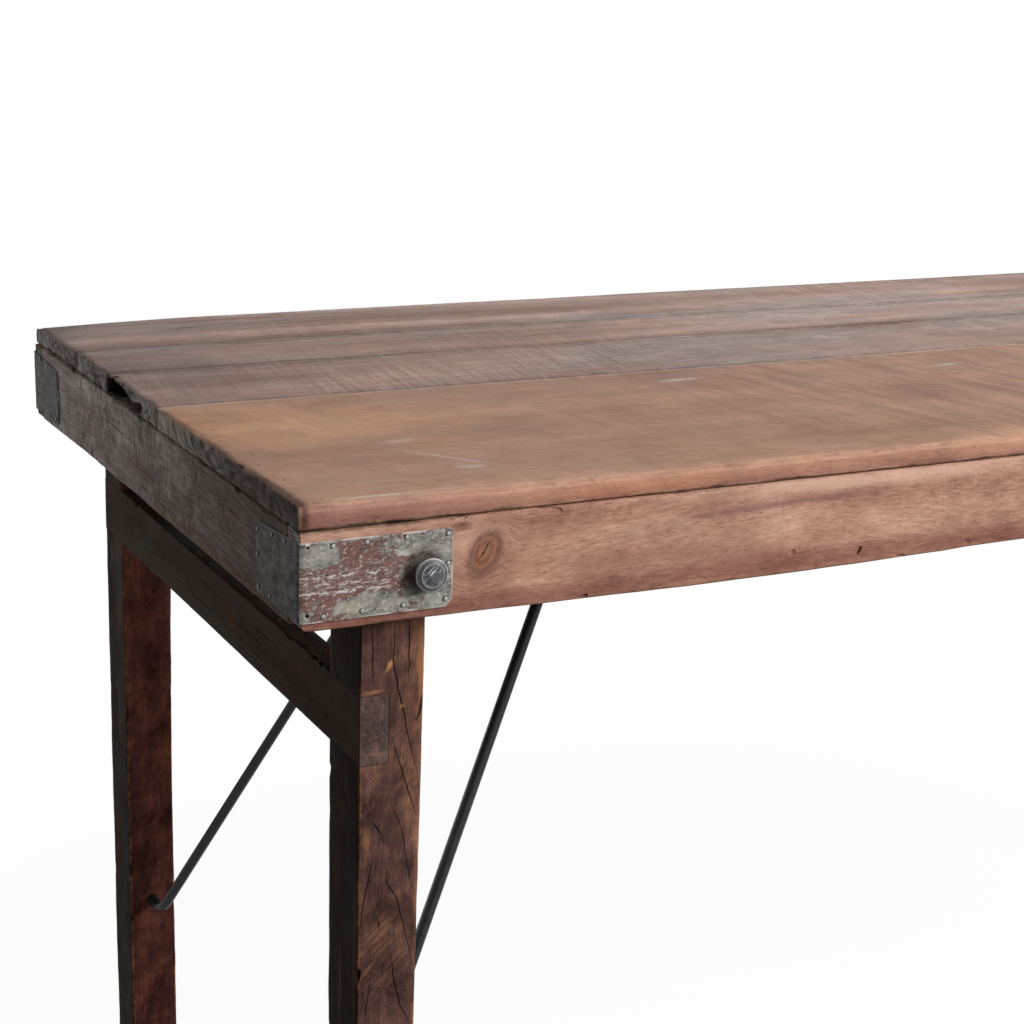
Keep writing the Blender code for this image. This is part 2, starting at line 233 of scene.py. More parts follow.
def addTube(name, path, radius, roundness, taper=None):
    # a capped tube along a path; taper gives its share of the radius along the way
    curve = bpy.data.curves.new(name, "CURVE")
    curve.dimensions = "3D"
    curve.bevel_depth = radius
    curve.bevel_resolution = roundness
    curve.use_fill_caps = True
    spline = curve.splines.new("POLY")
    spline.points.add(len(path) - 1)
    for index, (point, spot) in enumerate(zip(spline.points, path)):
        point.co = (*spot, 1.0)
        if taper:
            point.radius = taper(index / (len(path) - 1))
    tube = bpy.data.objects.new(name, curve)
    bpy.context.scene.collection.objects.link(tube)
    selectOnly(tube)
    bpy.ops.object.convert(target="MESH")
    return bpy.context.object


def splitTaper(share):
    return 0.12 + 0.88 * math.sin(math.pi * share) ** 0.6


def addSplit(points, axis, level, width, depth):
    # a long drying crack in the face at that level: a thin tapered blade that goes in square to it
    path = []
    for spot in wander(points, 0.006, width * 0.45):
        place = list(spot)
        place.insert(axis, 0.0)
        path.append(place)
    split = addTube("split", path, width / 2, 0, splitTaper)
    with editMode():
        bpy.ops.mesh.remove_doubles(threshold=0.000001)
    split.location[axis] = level
    split.scale[axis] = 2 * depth / width
    return settle(split)


# Worn boards

def sliceBoard(board, low, high, cell, loops):
    # a grid of cuts along each way, and a few more close to the arrises
    size = high - low
    with editMode():
        bpy.ops.mesh.select_mode(type="EDGE")
        for axis in range(3):
            cuts = round(size[axis] / cell[axis]) - 1
            if cuts > 0:
                pickEdges(board, lambda a, b: abs((a - b).normalized()[axis]) > 0.9)
                bpy.ops.mesh.subdivide(number_cuts=cuts)
        for axis in range(3):
            normal = Vector((0, 0, 0))
            normal[axis] = 1
            for inset in loops:
                if size[axis] < 3 * inset:
                    continue
                for level in (low[axis] + inset, high[axis] - inset):
                    bpy.ops.mesh.select_all(action="SELECT")
                    bpy.ops.mesh.bisect(plane_co=normal * level, plane_no=normal)


def bevelSharp(board, width, segments):
    selectOnly(board)
    with editMode():
        bpy.ops.mesh.select_mode(type="EDGE")
        bpy.ops.mesh.select_all(action="DESELECT")
        bpy.ops.mesh.edges_select_sharp(sharpness=math.radians(60))
        bpy.ops.mesh.bevel(offset=width, segments=segments, affect="EDGES")


def faceGaps(point, low, high):
    return [min(point[axis] - low[axis], high[axis] - point[axis]) for axis in range(3)]


def groupArrises(board, low, high, reach):
    group = board.vertex_groups.new(name="arris")
    for vertex in board.data.vertices:
        fromArris = sorted(faceGaps(vertex.co, low, high))[1]
        if fromArris < reach:
            group.add([vertex.index], 1 - fromArris / reach, "REPLACE")


def roughen(board, strength, grain, lean, group=""):
    # moves the surface in and out by a cloudy noise; a larger lean takes more wood off
    texture = bpy.data.textures.new("roughen", "CLOUDS")
    texture.noise_scale = grain
    texture.noise_depth = 3
    rough = board.modifiers.new("roughen", "DISPLACE")
    rough.texture = texture
    rough.texture_coords = "LOCAL"
    rough.strength = strength
    rough.mid_level = lean
    rough.vertex_group = group
    applyModifiers(board)


def roundOff(board, low, high, axisA, atHighA, axisB, atHighB, radius):
    # pulls one long corner of the board in to an arc
    for vertex in board.data.vertices:
        gapA = high[axisA] - vertex.co[axisA] if atHighA else vertex.co[axisA] - low[axisA]
        gapB = high[axisB] - vertex.co[axisB] if atHighB else vertex.co[axisB] - low[axisB]
        outA, outB = radius - gapA, radius - gapB
        reach = math.hypot(outA, outB)
        if outA > 0 and outB > 0 and reach > radius:
            pull = 1 - radius / reach
            vertex.co[axisA] += outA * pull * (-1 if atHighA else 1)
            vertex.co[axisB] += outB * pull * (-1 if atHighB else 1)


def markFaces(board, low, high):
    # how deep each point lies behind the board's six faces, which the finish reads for wear, dirt and
    # painted shade
    attribute = board.data.attributes.new("fromFaces", "FLOAT_VECTOR", "POINT")
    for vertex, item in zip(board.data.vertices, attribute.data):
        item.vector = faceGaps(vertex.co, low, high)


# how boards are roughened: the grain of the noise, and how much wood it takes off
boardRough = {"arrisWearAndHighlight": (0.030, 0.62), "nibbled": (0.007, 0.55), "nibbleShare": 0.4, "swayed": (0.16, 0.5)}


def wornBoard(name, node, shape):
    low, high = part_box(node)
    board = addBlock(name, low, high)
    sliceBoard(board, low, high, shape["cell"], shape["loops"])
    bevelSharp(board, shape["arris"], 3)
    groupArrises(board, low, high, shape["wearReach"])
    for axisA, atHighA, axisB, atHighB, radius in shape.get("rounds", ()):
        roundOff(board, low, high, axisA, atHighA, axisB, atHighB, radius)
    roughen(board, shape["wear"], *boardRough["arrisWearAndHighlight"], "arris")
    roughen(board, shape["wear"] * boardRough["nibbleShare"], *boardRough["nibbled"], "arris")
    roughen(board, shape["sway"], *boardRough["swayed"])
    return board, low, high


def finishBoard(board, low, high, node, body, finish):
    smooth(board)
    markFaces(board, low, high)
    dress(board, node, body, finish)


def dress(piece, node, body, finish):
    piece.data.materials.clear()
    piece.data.materials.append(finish)
    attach(piece, body)
    if node:
        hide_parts(node)


# Shader building

tree = None  # the node tree in hand, which every helper below adds to


def addNode(kind, inputs=None, **settings):
    made = tree.nodes.new("ShaderNode" + kind)
    for name, value in settings.items():
        setattr(made, name, value)
    for key, value in (inputs or {}).items():
        socket = made.inputs[key]
        if isinstance(value, bpy.types.NodeSocket):
            tree.links.new(value, socket)
        elif socket.type == "RGBA":
            socket.default_value = (*value, 1.0)
        else:
            socket.default_value = value
    return made


def calc(operation, a, b=0.0, clamp=False):
    return addNode("Math", {0: a, 1: b}, operation=operation, use_clamp=clamp).outputs[0]


def times(a, b):
    return calc("MULTIPLY", a, b)


def plus(a, b):
    return calc("ADD", a, b)


def minus(a, b):
    return calc("SUBTRACT", a, b)


def vector(operation, a, b):
    return addNode("VectorMath", {0: a, 1: b}, operation=operation).outputs[0]


def lengthOf(a):
    return addNode("VectorMath", {0: a}, operation="LENGTH").outputs["Value"]


def ease(value, start, end):
    # a smooth step from 0 at start to 1 at end
    inputs = {"Value": value, "From Min": start, "From Max": end}
    return addNode("MapRange", inputs, interpolation_type="SMOOTHSTEP").outputs[0]


def mapped(value, low, high, start=0.0, end=1.0):
    inputs = {"Value": value, "From Min": start, "From Max": end, "To Min": low, "To Max": high}
    return addNode("MapRange", inputs).outputs[0]


def squareOn(face, start, end):
    # how squarely a face looks along an axis, either way
    return ease(calc("ABSOLUTE", face), start, end)


def stretched(place, scale, turn=None):
    # turns first, so that long thin patterns can run aslant
    if turn:
        place = addNode("Mapping", {"Vector": place, "Rotation": turn}).outputs[0]
    return addNode("Mapping", {"Vector": place, "Scale": scale}).outputs[0]


def cloud(place, scale, detail, roughness):
    inputs = {"Vector": place, "Scale": scale, "Detail": detail, "Roughness": roughness}
    return addNode("TexNoise", inputs).outputs[0]


def streaks(place, scale, detail, roughness, turn=None):
    # a cloud drawn out along an axis
    return cloud(stretched(place, scale, turn), 1.0, detail, roughness)


def drift(place, scale, detail, reach):
    # small shifts about zero
    inputs = {"Vector": place, "Scale": scale, "Detail": detail}
    shift = addNode("TexNoise", inputs).outputs["Color"]
    return vector("MULTIPLY", vector("SUBTRACT", shift, (0.5,) * 3), reach)


def flutter(place, scale, detail, roughness, reach):
    # a cloud about zero
    return times(minus(cloud(place, scale, detail, roughness), 0.5), reach)


def blend(factor, under, over, kind="MIX"):
    made = addNode("Mix", {0: factor, 6: under, 7: over}, data_type="RGBA", blend_type=kind)
    return made.outputs[2]


def shades(value, stops):
    made = addNode("ValToRGB", {"Fac": value})
    elements = made.color_ramp.elements
    while len(elements) < len(stops):
        elements.new(0.5)
    for element, (position, colour) in zip(elements, stops):
        element.position = position
        element.color = (*colour, 1.0)
    return made.outputs[0]


def twoTone(value, start, end, colours):
    return shades(value, ((start, colours[0]), (end, colours[1])))


def startFinish(name):
    global tree
    material = bpy.data.materials.new(name)
    material.use_nodes = True
    tree = material.node_tree
    shader = tree.nodes["Principled BSDF"]
    coordinates = addNode("TexCoord")
    return material, shader, coordinates.outputs["Object"], coordinates.outputs["Normal"]


def setShader(shader, values):
    for key, value in values.items():
        if isinstance(value, bpy.types.NodeSocket):
            tree.links.new(value, shader.inputs[key])
        else:
            shader.inputs[key].default_value = value


def arrisAndDepth():
    # how far a point is from the nearest arris, and how far it lies below the board's own faces
    gaps = addNode("Attribute", attribute_name="fromFaces").outputs["Vector"]
    x, y, z = addNode("SeparateXYZ", {0: gaps}).outputs
    depth = calc("MINIMUM", x, calc("MINIMUM", y, z))
    largest = calc("MAXIMUM", x, calc("MAXIMUM", y, z))
    total = plus(x, plus(y, z))
    middle = minus(minus(total, depth), largest)
    return middle, depth


def ellipsoid(place, at, reach, turn=(0, 0, 0)):
    # where a point lies in an ellipsoid, and how far out: 1 on its skin
    inputs = {"Vector": place, "Location": at, "Scale": reach, "Rotation": turn}
    inside = addNode("Mapping", inputs, vector_type="TEXTURE").outputs[0]
    return inside, lengthOf(inside)


def mark(at, reach, colour, strength, grit, turn=(0, 0, 0), ragged=1.2, core=0.35, kind="MIX"):
    # a stain, scuff or scratch: grit is how fine its ragged edge is, along each way
    return {"at": at, "reach": reach, "colour": colour, "strength": strength, "grit": grit, "turn": turn,
            "ragged": ragged, "core": core, "kind": kind}


def shadeMark(*values, **rest):
    # a mark that darkens or brightens what is under it
    return mark(*values, kind="MULTIPLY", **rest)


def paintMark(place, colour, spot):
    distance = ellipsoid(place, spot["at"], spot["reach"], spot["turn"])[1]
    ragged = streaks(place, spot["grit"], 4.0, 0.65)
    edge = plus(distance, times(ragged, spot["ragged"]))
    mask = ease(edge, 1.0 + spot["ragged"] * 0.5, spot["core"] + 0.3)
    return blend(times(mask, spot["strength"]), colour, spot["colour"], spot["kind"])


def showPlace(place, repeat):
    # where a point would lie on the front left piece of its kind, so that the others carry the same marks
    if repeat == "corners":
        return vector("MULTIPLY", vector("ABSOLUTE", place, (0, 0, 0)), (-1, -1, 1))
    parts = addNode("SeparateXYZ", {0: place}).outputs
    way = times(calc("SIGN", parts[1 if repeat == "rows" else 0]), -1.0)
    return vector("MULTIPLY", place, addNode("CombineXYZ", {0: way, 1: way, 2: 1.0}).outputs[0])


def grainPlace(look, place, shown, ordered):
    # the grain wanders a little, and bulges round a knot
    sway = drift(place, look["swayScale"], 2.0, (0, look["sway"], look["sway"]))
    grain = vector("ADD", ordered, sway)
    if "knot" not in look:
        return grain, None
    knot = look["knot"]
    inside, knotRing = ellipsoid(shown, knot["at"], knot["reach"], knot["turn"])
    pull = ease(knotRing, knot["flow"], 0.0)
    bulge = vector("MULTIPLY", inside, (0, 0, -knot["reach"][2] * knot["flow"] * 0.36))
    pulled = addNode("VectorMath", {0: bulge, "Scale": pull}, operation="SCALE").outputs[0]
    return vector("ADD", grain, pulled), knotRing


def paintSawMarks(saw, colour, place, ways, faces):
    # lines a little off square to the grain, cut dark and lifted pale
    along, across, thick = ways
    skew = times(plus(across, thick), saw["skew"])
    run = times(plus(along, skew), 1.0 / saw["pitch"])
    slow = times(across, 7.0)
    broken = times(thick, saw["breaks"])
    sawPlace = addNode("CombineXYZ", {0: run, 1: slow, 2: broken}).outputs[0]
    sawLine = cloud(sawPlace, 1.0, 3.0, 0.7)
    sawPatch = ease(cloud(place, saw["patches"], 2.0, 0.5), 0.38, 0.62)
    if "face" in saw:
        broad = squareOn(faces[saw["face"]], 0.5, 0.8)
        sawPatch = times(sawPatch, broad)
    sawCut = times(sawPatch, ease(sawLine, 0.44, 0.64))
    sawLift = times(sawPatch, ease(sawLine, 0.50, 0.28))
    colour = blend(times(sawCut, saw["dark"]), colour, saw["darkColour"])
    colour = blend(times(sawLift, saw["pale"]), colour, saw["paleColour"])
    return colour, sawLine


def paintScratches(look, colour, place):
    # fine lines in two directions
    for angle, seed in ((0.9, 3.1), (-0.5, 7.7)):
        turn = (0, angle, 0) if look["grain"] == "z" else (0, 0, angle)
        turned = vector("ADD", stretched(place, (1, 1, 1), turn), (seed,) * 3)
        lines = streaks(turned, (9, 620, 420), 1.0, 0.4)
        scratch = times(ease(lines, 0.68, 0.76), look["scratches"])
        colour = blend(scratch, colour, look["scratchColour"])
    return colour


def paintHatch(hatch, colour, place, faces):
    # slanting lines, in patches of the faces that look to the front or back
    lines = streaks(place, hatch["run"], 3.0, 0.6, (0, hatch["turn"], 0))
    where = ease(cloud(place, 16.0, 3.0, 0.6), 0.42, 0.62)
    where = times(where, squareOn(faces[1], 0.5, 0.8))
    share = times(ease(lines, 0.50, 0.66), where)
    return blend(times(share, hatch["strength"]), colour, hatch["colour"])


def paintKnot(knot, colour, knotRing, figure, fibre):
    # a rippled heart with a dark frayed rim
    rippled = plus(knotRing, times(figure, 1.3))
    wave = plus(times(calc("SINE", times(rippled, 9.0)), 0.16), fibre)
    heart = twoTone(wave, 0.25, 0.75, knot["colours"])
    frayed = plus(knotRing, times(minus(figure, 0.5), 2.4))
    rim = times(ease(frayed, 1.75, 1.05), 0.65)
    colour = blend(rim, colour, knot["rim"])
    return blend(times(ease(frayed, 1.15, 0.60), 0.85), colour, heart)


def endGrain(look, place, mottle):
    # curved rings cut across the fibres, torn by the saw
    arcs = streaks(place, look["endArcs"], 2.0, 0.5)
    arcs = calc("SINE", times(arcs, 95.0))
    speck = cloud(place, 520.0, 3.0, 0.65)
    torn = streaks(place, look["endTorn"], 5.0, 0.7, look["endTurn"])
    tone = times(arcs, look["endRings"])
    for layer, weight in ((torn, 0.45), (speck, 0.30), (mottle, 0.25)):
        tone = plus(tone, times(layer, weight))
    return twoTone(tone, 0.42, 0.61, look["endColours"])


def paintWearAndShade(look, colour, place, parts, faces):
    # worn arrises with a painted highlight; seams, cracks, chips and nail holes dark with dirt and painted
    # shade
    fromArris, depth = arrisAndDepth()
    # a pale band along the arrises: worn wood and a painted highlight
    nibble = flutter(place, 120.0, 4.0, 0.7, 0.006)
    arrisWearAndHighlight = ease(plus(fromArris, nibble), look["arrisReach"], 0.0002)
    arrisWearAndHighlight = times(arrisWearAndHighlight, ease(cloud(place, 26.0, 3.0, 0.6), 0.36, 0.60))
    colour = blend(times(arrisWearAndHighlight, look["arrisDepth"]), colour, look["arrisColour"])
    # grime and painted shade along the seams between boards
    for axis, level, reach, strength in look.get("seams", ()):
        off = calc("ABSOLUTE", minus(parts[axis], level))
        ragged = flutter(place, 38.0, 5.0, 0.72, reach * 2.4)
        grimeAndShade = ease(plus(off, ragged), reach, reach * 0.25)
        sideways = squareOn(faces[axis], 0.75, 0.35)
        grimeAndShade = times(times(grimeAndShade, sideways), strength)
        colour = blend(grimeAndShade, colour, look["dirt"])
    # dirt and painted shade, darker the deeper a point lies in a crack, chip, hollow or hole
    dirt = ease(depth, 0.0012, 0.0042)
    return blend(times(dirt, 0.92), colour, look["dirt"])


def woodFinish(look):
    material, shader, place, facing = startFinish(look["name"])
    shown = showPlace(place, look["repeat"]) if "repeat" in look else place
    order = {"x": (0, 1, 2), "y": (1, 0, 2), "z": (2, 0, 1)}[look["grain"]]
    parts = addNode("SeparateXYZ", {0: place}).outputs
    faces = addNode("SeparateXYZ", {0: facing}).outputs
    ways = [parts[axis] for axis in order]  # along the grain, and the two ways across it
    ordered = addNode("CombineXYZ", dict(enumerate(ways))).outputs[0]
    grain, knotRing = grainPlace(look, place, shown, ordered)

    # growth rings, streaks, a cloudy figure, fibres and pores
    streak = streaks(grain, look["streak"], 5.0, 0.62)
    figure = streaks(grain, look["figure"], 6.0, 0.65)
    ringNoise = streaks(grain, (0.7, 5.5, 5.5), 1.5, 0.4)
    ring = calc("SINE", times(ringNoise, look["rings"]))
    fibre = streaks(grain, look["fibre"], 3.0, 0.6)
    pore = ease(streaks(grain, look["pore"], 2.0, 0.5), 0.57, 0.72)
    tone = times(ring, look["ringDepth"])
    for layer, weight in zip((streak, figure, fibre), look["weights"]):
        tone = plus(tone, times(layer, weight))
    deep, main, light = look["colours"]
    colour = shades(tone, ((0.32, deep), (0.50, main), (0.66, light)))

    # patches that weathered to grey, and a cloudy unevenness
    patch = streaks(grain, (2.2, 11, 11), 4.0, 0.6)
    greyShare = times(ease(patch, *look["greyFrom"]), look["greyDepth"])
    greyTone = twoTone(fibre, 0.3, 0.7, look["grey"])
    colour = blend(greyShare, colour, greyTone)
    mottle = cloud(place, 24.0, 5.0, 0.6)
    dapple = shades(mottle, ((0.3, (1 - look["mottle"],) * 3), (0.7, (1 + look["mottle"],) * 3)))
    colour = blend(1.0, colour, dapple, "MULTIPLY")
    colour = blend(times(pore, look["pores"]), colour, look["poreColour"])

    colour, sawLine = paintSawMarks(look["saw"], colour, place, ways, faces)
    colour = paintScratches(look, colour, place)
    if "hatch" in look:
        colour = paintHatch(look["hatch"], colour, place, faces)
    if "knot" in look:
        colour = paintKnot(look["knot"], colour, knotRing, figure, fibre)
    for axis, way, tint in look.get("tints", ()):  # faces that differ from the show face
        turnedTo = times(faces[axis], float(way))
        colour = blend(ease(turnedTo, 0.45, 0.8), colour, tint, "MULTIPLY")
    ends = squareOn(faces[order[0]], 0.62, 0.86)
    colour = blend(ends, colour, endGrain(look, place, mottle))
    for spot in look.get("marks", ()):
        colour = paintMark(shown, colour, spot)
    colour = paintWearAndShade(look, colour, place, parts, faces)

    # relief too fine to model, and a sheen that follows it
    height = plus(times(fibre, 0.5), times(sawLine, look["saw"]["relief"]))
    height = minus(height, times(pore, 0.35))
    bump = addNode("Bump", {"Height": height, "Distance": look["relief"], "Strength": 0.7}).outputs[0]
    gloss = mapped(mottle, *look["roughness"], 0.3, 0.7)
    gloss = calc("MAXIMUM", gloss, times(ends, look["endRoughness"]))
    setShader(shader, {"Base Color": colour, "Roughness": gloss, "Normal": bump, "IOR": look["ior"]})
    return material


# What every wood here shares; each finish below changes what differs
plainWood = {
    "grain": "x", "swayScale": 2.1, "sway": 0.045, "rings": 34.0, "ringDepth": 0.05,
    "streak": (1.6, 34, 34), "figure": (8, 26, 26), "fibre": (30, 420, 420), "pore": (140, 900, 900),
    "weights": (0.40, 0.28, 0.32),
    "greyFrom": (0.56, 0.72), "greyDepth": 0.5, "grey": ((0.16, 0.14, 0.13), (0.31, 0.28, 0.26)),
    "mottle": 0.16, "pores": 0.5, "poreColour": (0.055, 0.032, 0.024),
    "saw": {"skew": 0.16, "pitch": 0.0045, "patches": 5.0, "dark": 0.25, "darkColour": (0.09, 0.06, 0.05),
            "pale": 0.25, "paleColour": (0.42, 0.33, 0.28), "relief": 0.6, "breaks": 1.0},
    "scratches": 0.18, "scratchColour": (0.52, 0.42, 0.36),
    "endArcs": (3, 9, 22), "endRings": 0.035, "endTorn": (20, 260, 30), "endTurn": (0.85, 0, 0),
    "endColours": ((0.080, 0.068, 0.064), (0.57, 0.50, 0.47)),
    "arrisReach": 0.004, "arrisDepth": 0.5, "arrisColour": (0.45, 0.28, 0.20),
    "dirt": (0.012, 0.008, 0.006), "relief": 0.0005, "roughness": (0.48, 0.70), "endRoughness": 0.96,
    "ior": 1.12,
}


def changed(look, **changes):
    made = dict(look)
    for key, value in changes.items():
        made[key] = dict(made[key], **value) if key == "saw" else value
    return made


honeyPlank = changed(
    plainWood, name="honeyPlank",
    colours=((0.255, 0.135, 0.092), (0.385, 0.228, 0.160), (0.495, 0.310, 0.215)), streak=(3.0, 26, 26),
    figure=(9, 13, 13), weights=(0.28, 0.42, 0.30), ringDepth=0.02, greyFrom=(0.60, 0.80), greyDepth=0.45,
    grey=((0.27, 0.19, 0.165), (0.38, 0.285, 0.245)), mottle=0.14, pores=0.3,
    hatch={"run": (780, 60, 70), "turn": 0.75, "strength": 0.38, "colour": (0.16, 0.075, 0.06)},
    saw={"dark": 0.55, "pale": 0.30, "darkColour": (0.230, 0.137, 0.118), "paleColour": (0.50, 0.34, 0.25),
         "relief": 0.3, "pitch": 0.014, "skew": 0.20, "patches": 3.4, "face": 2},
    # the pale arrises stand for wear and a painted highlight
    arrisColour=(0.57, 0.345, 0.235), arrisDepth=0.65,
    tints=((1, -1, (0.93, 0.79, 0.78)), (2, -1, (0.62, 0.60, 0.58))),
    seams=((1, -0.0385, 0.0016, 0.6), (2, 1.032, 0.0026, 0.92), (0, -1.1, 0.0070, 0.3),
           (0, 1.1, 0.0070, 0.3)),
    marks=(
        shadeMark((0, -0.35, 1.0345), (4.0, 0.012, 0.0085), (0.78, 0.74, 0.78), 0.75, (34, 60, 130),
                  ragged=1.6),
        # a pale line just under the top arris of the front edge: wear and a painted highlight
        mark((0, -0.3495, 1.0455), (4.0, 0.006, 0.0020), (0.58, 0.36, 0.26), 0.45, (60, 60, 260),
             ragged=1.9),
        shadeMark((0, -0.325, 1.05), (1.06, 0.036, 0.006), (1.22, 1.18, 1.08), 0.75, (12, 40, 40),
                  core=0.2),
        shadeMark((-1.06, -0.35, 1.040), (0.14, 0.008, 0.016), (0.84, 0.81, 0.92), 0.95, (24, 40, 60),
                  ragged=0.8),
        shadeMark((-0.84, -0.35, 1.038), (0.11, 0.008, 0.010), (1.24, 1.16, 1.06), 0.9, (24, 40, 60),
                  ragged=0.8),
        # a dark line under the front edge near the left end: painted shadow under the plank
        mark((-1.05, -0.35, 1.0318), (0.13, 0.010, 0.0040), (0.014, 0.009, 0.007), 0.92, (50, 60, 120),
             ragged=0.9),
        shadeMark((-1.04, -0.13, 1.05), (0.22, 0.12, 0.006), (1.27, 1.22, 1.06), 0.9, (16, 40, 40),
                  ragged=0.7),
        # the end face darkened towards the near corner: painted shade
        shadeMark((-1.1, -0.37, 1.041), (0.010, 0.25, 0.08), (0.39, 0.36, 0.36), 0.98, (60, 60, 60),
                  ragged=0.4, core=0.35),
        mark((-0.952, -0.262, 1.05), (0.050, 0.004, 0.01), (0.60, 0.52, 0.46), 0.5, (120, 120, 90),
             turn=(0, 0, -0.9)),
        mark((-0.948, -0.293, 1.05), (0.016, 0.010, 0.01), (0.58, 0.49, 0.43), 0.45, (200, 200, 90),
             turn=(0, 0, -0.3)),
        mark((-0.965, -0.205, 1.05), (0.022, 0.008, 0.01), (0.56, 0.47, 0.41), 0.45, (260, 200, 90),
             turn=(0, 0, 0.2)),
        mark((-0.64, -0.079, 1.05), (0.035, 0.007, 0.01), (0.64, 0.55, 0.49), 0.6, (160, 260, 60),
             turn=(0, 0, 0.05)),
        mark((-0.36, -0.10, 1.05), (0.030, 0.006, 0.01), (0.60, 0.50, 0.44), 0.5, (160, 260, 60),
             turn=(0, 0, 0.1)),
        mark((-1.04, -0.343, 1.05), (0.05, 0.003, 0.01), (0.64, 0.55, 0.48), 0.6, (160, 200, 60)),
    ),
)

greyPlank = changed(
    plainWood, name="greyPlank",
    colours=((0.165, 0.098, 0.076), (0.345, 0.225, 0.185), (0.50, 0.345, 0.285)),
    weights=(0.55, 0.15, 0.30), greyFrom=(0.46, 0.66), greyDepth=0.62,
    grey=((0.20, 0.170, 0.158), (0.43, 0.375, 0.35)), mottle=0.20, pores=0.5, scratches=0.08,
    saw={"dark": 0.46, "pale": 0.34, "darkColour": (0.150, 0.098, 0.082), "paleColour": (0.54, 0.41, 0.35),
         "patches": 2.4, "pitch": 0.0056, "skew": -0.10, "relief": 0.6, "face": 2},
    arrisColour=(0.42, 0.32, 0.27), arrisDepth=0.35, tints=((2, -1, (0.62, 0.60, 0.58)),),
    seams=((1, -0.0385, 0.0110, 0.36), (1, 0.0997, 0.0110, 0.36), (1, 0.2058, 0.0110, 0.42),
           (1, 0.0997, 0.0018, 0.5), (1, 0.2058, 0.0018, 0.5), (2, 1.032, 0.0026, 0.92),
           (0, -1.1, 0.0070, 0.3), (0, 1.1, 0.0070, 0.3)),
    marks=(
        shadeMark((-0.25, 0.22, 1.05), (0.62, 0.26, 0.03), (1.40, 1.42, 1.44), 0.9, (5, 14, 14),
                  ragged=0.8, core=0.1),
        shadeMark((-1.06, 0.09, 1.05), (0.13, 0.13, 0.02), (0.70, 0.71, 0.74), 0.9, (12, 50, 50),
                  ragged=0.7),
        # near black in the broken hollow at the left end: painted shade
        mark((-1.088, 0.062, 1.0365), (0.030, 0.050, 0.0115), (0.010, 0.007, 0.006), 0.97, (60, 60, 60),
             ragged=0.5, core=0.6),
        mark((-1.090, 0.1000, 1.0405), (0.030, 0.006, 0.0080), (0.010, 0.007, 0.006), 0.97, (60, 60, 60),
             ragged=0.3, core=0.7),
        mark((-0.97, 0.29, 1.05), (0.020, 0.006, 0.01), (0.05, 0.035, 0.03), 0.7, (60, 120, 60),
             turn=(0, 0, 0.1)),
        mark((-0.86, 0.335, 1.05), (0.030, 0.006, 0.01), (0.06, 0.042, 0.036), 0.6, (60, 120, 60),
             turn=(0, 0, 0.1)),
    ),
)

frontApron = changed(
    plainWood, name="frontApronWood",
    colours=((0.205, 0.094, 0.064), (0.372, 0.202, 0.144), (0.51, 0.318, 0.226)), streak=(4.0, 34, 34),
    figure=(9, 26, 26), fibre=(90, 520, 520), pore=(170, 900, 900), weights=(0.18, 0.42, 0.40), rings=60.0,
    ringDepth=0.030, greyFrom=(0.62, 0.85), greyDepth=0.3, mottle=0.15, pores=0.42,
    poreColour=(0.13, 0.054, 0.040), repeat="rows",
    saw={"dark": 0.16, "pale": 0.14, "relief": 0.25, "skew": 0.0, "pitch": 0.0030, "breaks": 40.0,
         "darkColour": (0.20, 0.09, 0.07), "paleColour": (0.56, 0.36, 0.26)}, scratches=0.06,
    arrisColour=(0.47, 0.26, 0.17), arrisDepth=0.4, tints=((2, -1, (0.6, 0.58, 0.56)),),
    seams=((2, 1.0317, 0.0022, 0.92),),
    knot={"at": (-0.9635, -0.3485, 1.0035), "reach": (0.0082, 0.02, 0.0115), "turn": (0, 0.58, 0),
          "flow": 3.2, "colours": ((0.165, 0.066, 0.040), (0.330, 0.155, 0.092)),
          "rim": (0.095, 0.038, 0.028)},
    marks=(
        shadeMark((0, -0.3485, 0.955), (4.0, 0.06, 0.028), (0.62, 0.50, 0.52), 0.95, (14, 60, 60),
                  ragged=0.6, core=0.5),
        mark((-0.62, -0.3485, 1.026), (0.26, 0.02, 0.010), (0.60, 0.41, 0.31), 0.6, (24, 90, 120)),
        mark((-0.71, -0.3485, 1.014), (0.15, 0.02, 0.0045), (0.19, 0.095, 0.098), 0.65, (20, 90, 260),
             turn=(0, -0.03, 0)),
        mark((-0.80, -0.3485, 0.982), (0.17, 0.02, 0.016), (0.235, 0.105, 0.085), 0.5, (30, 60, 70),
             turn=(0, 0.06, 0)),
        shadeMark((-0.83, -0.3485, 1.004), (0.070, 0.02, 0.012), (0.76, 0.76, 0.80), 0.8, (24, 60, 60)),
        shadeMark((-0.53, -0.3485, 1.002), (0.090, 0.02, 0.020), (1.22, 1.28, 1.30), 0.8, (24, 60, 60)),
        # a dark line along the top near the left end: painted shadow under the plank
        mark((-1.05, -0.35, 1.0318), (0.13, 0.010, 0.0038), (0.014, 0.009, 0.007), 0.92, (50, 60, 120),
             ragged=0.9),
        mark((-0.9805, -0.3485, 1.024), (0.012, 0.01, 0.005), (0.10, 0.045, 0.03), 0.7, (200, 90, 300)),
        mark((1.090, -0.3485, 1.030), (0.030, 0.03, 0.006), (0.12, 0.092, 0.080), 0.9, (60, 60, 60),
             core=0.6),
    ),
)

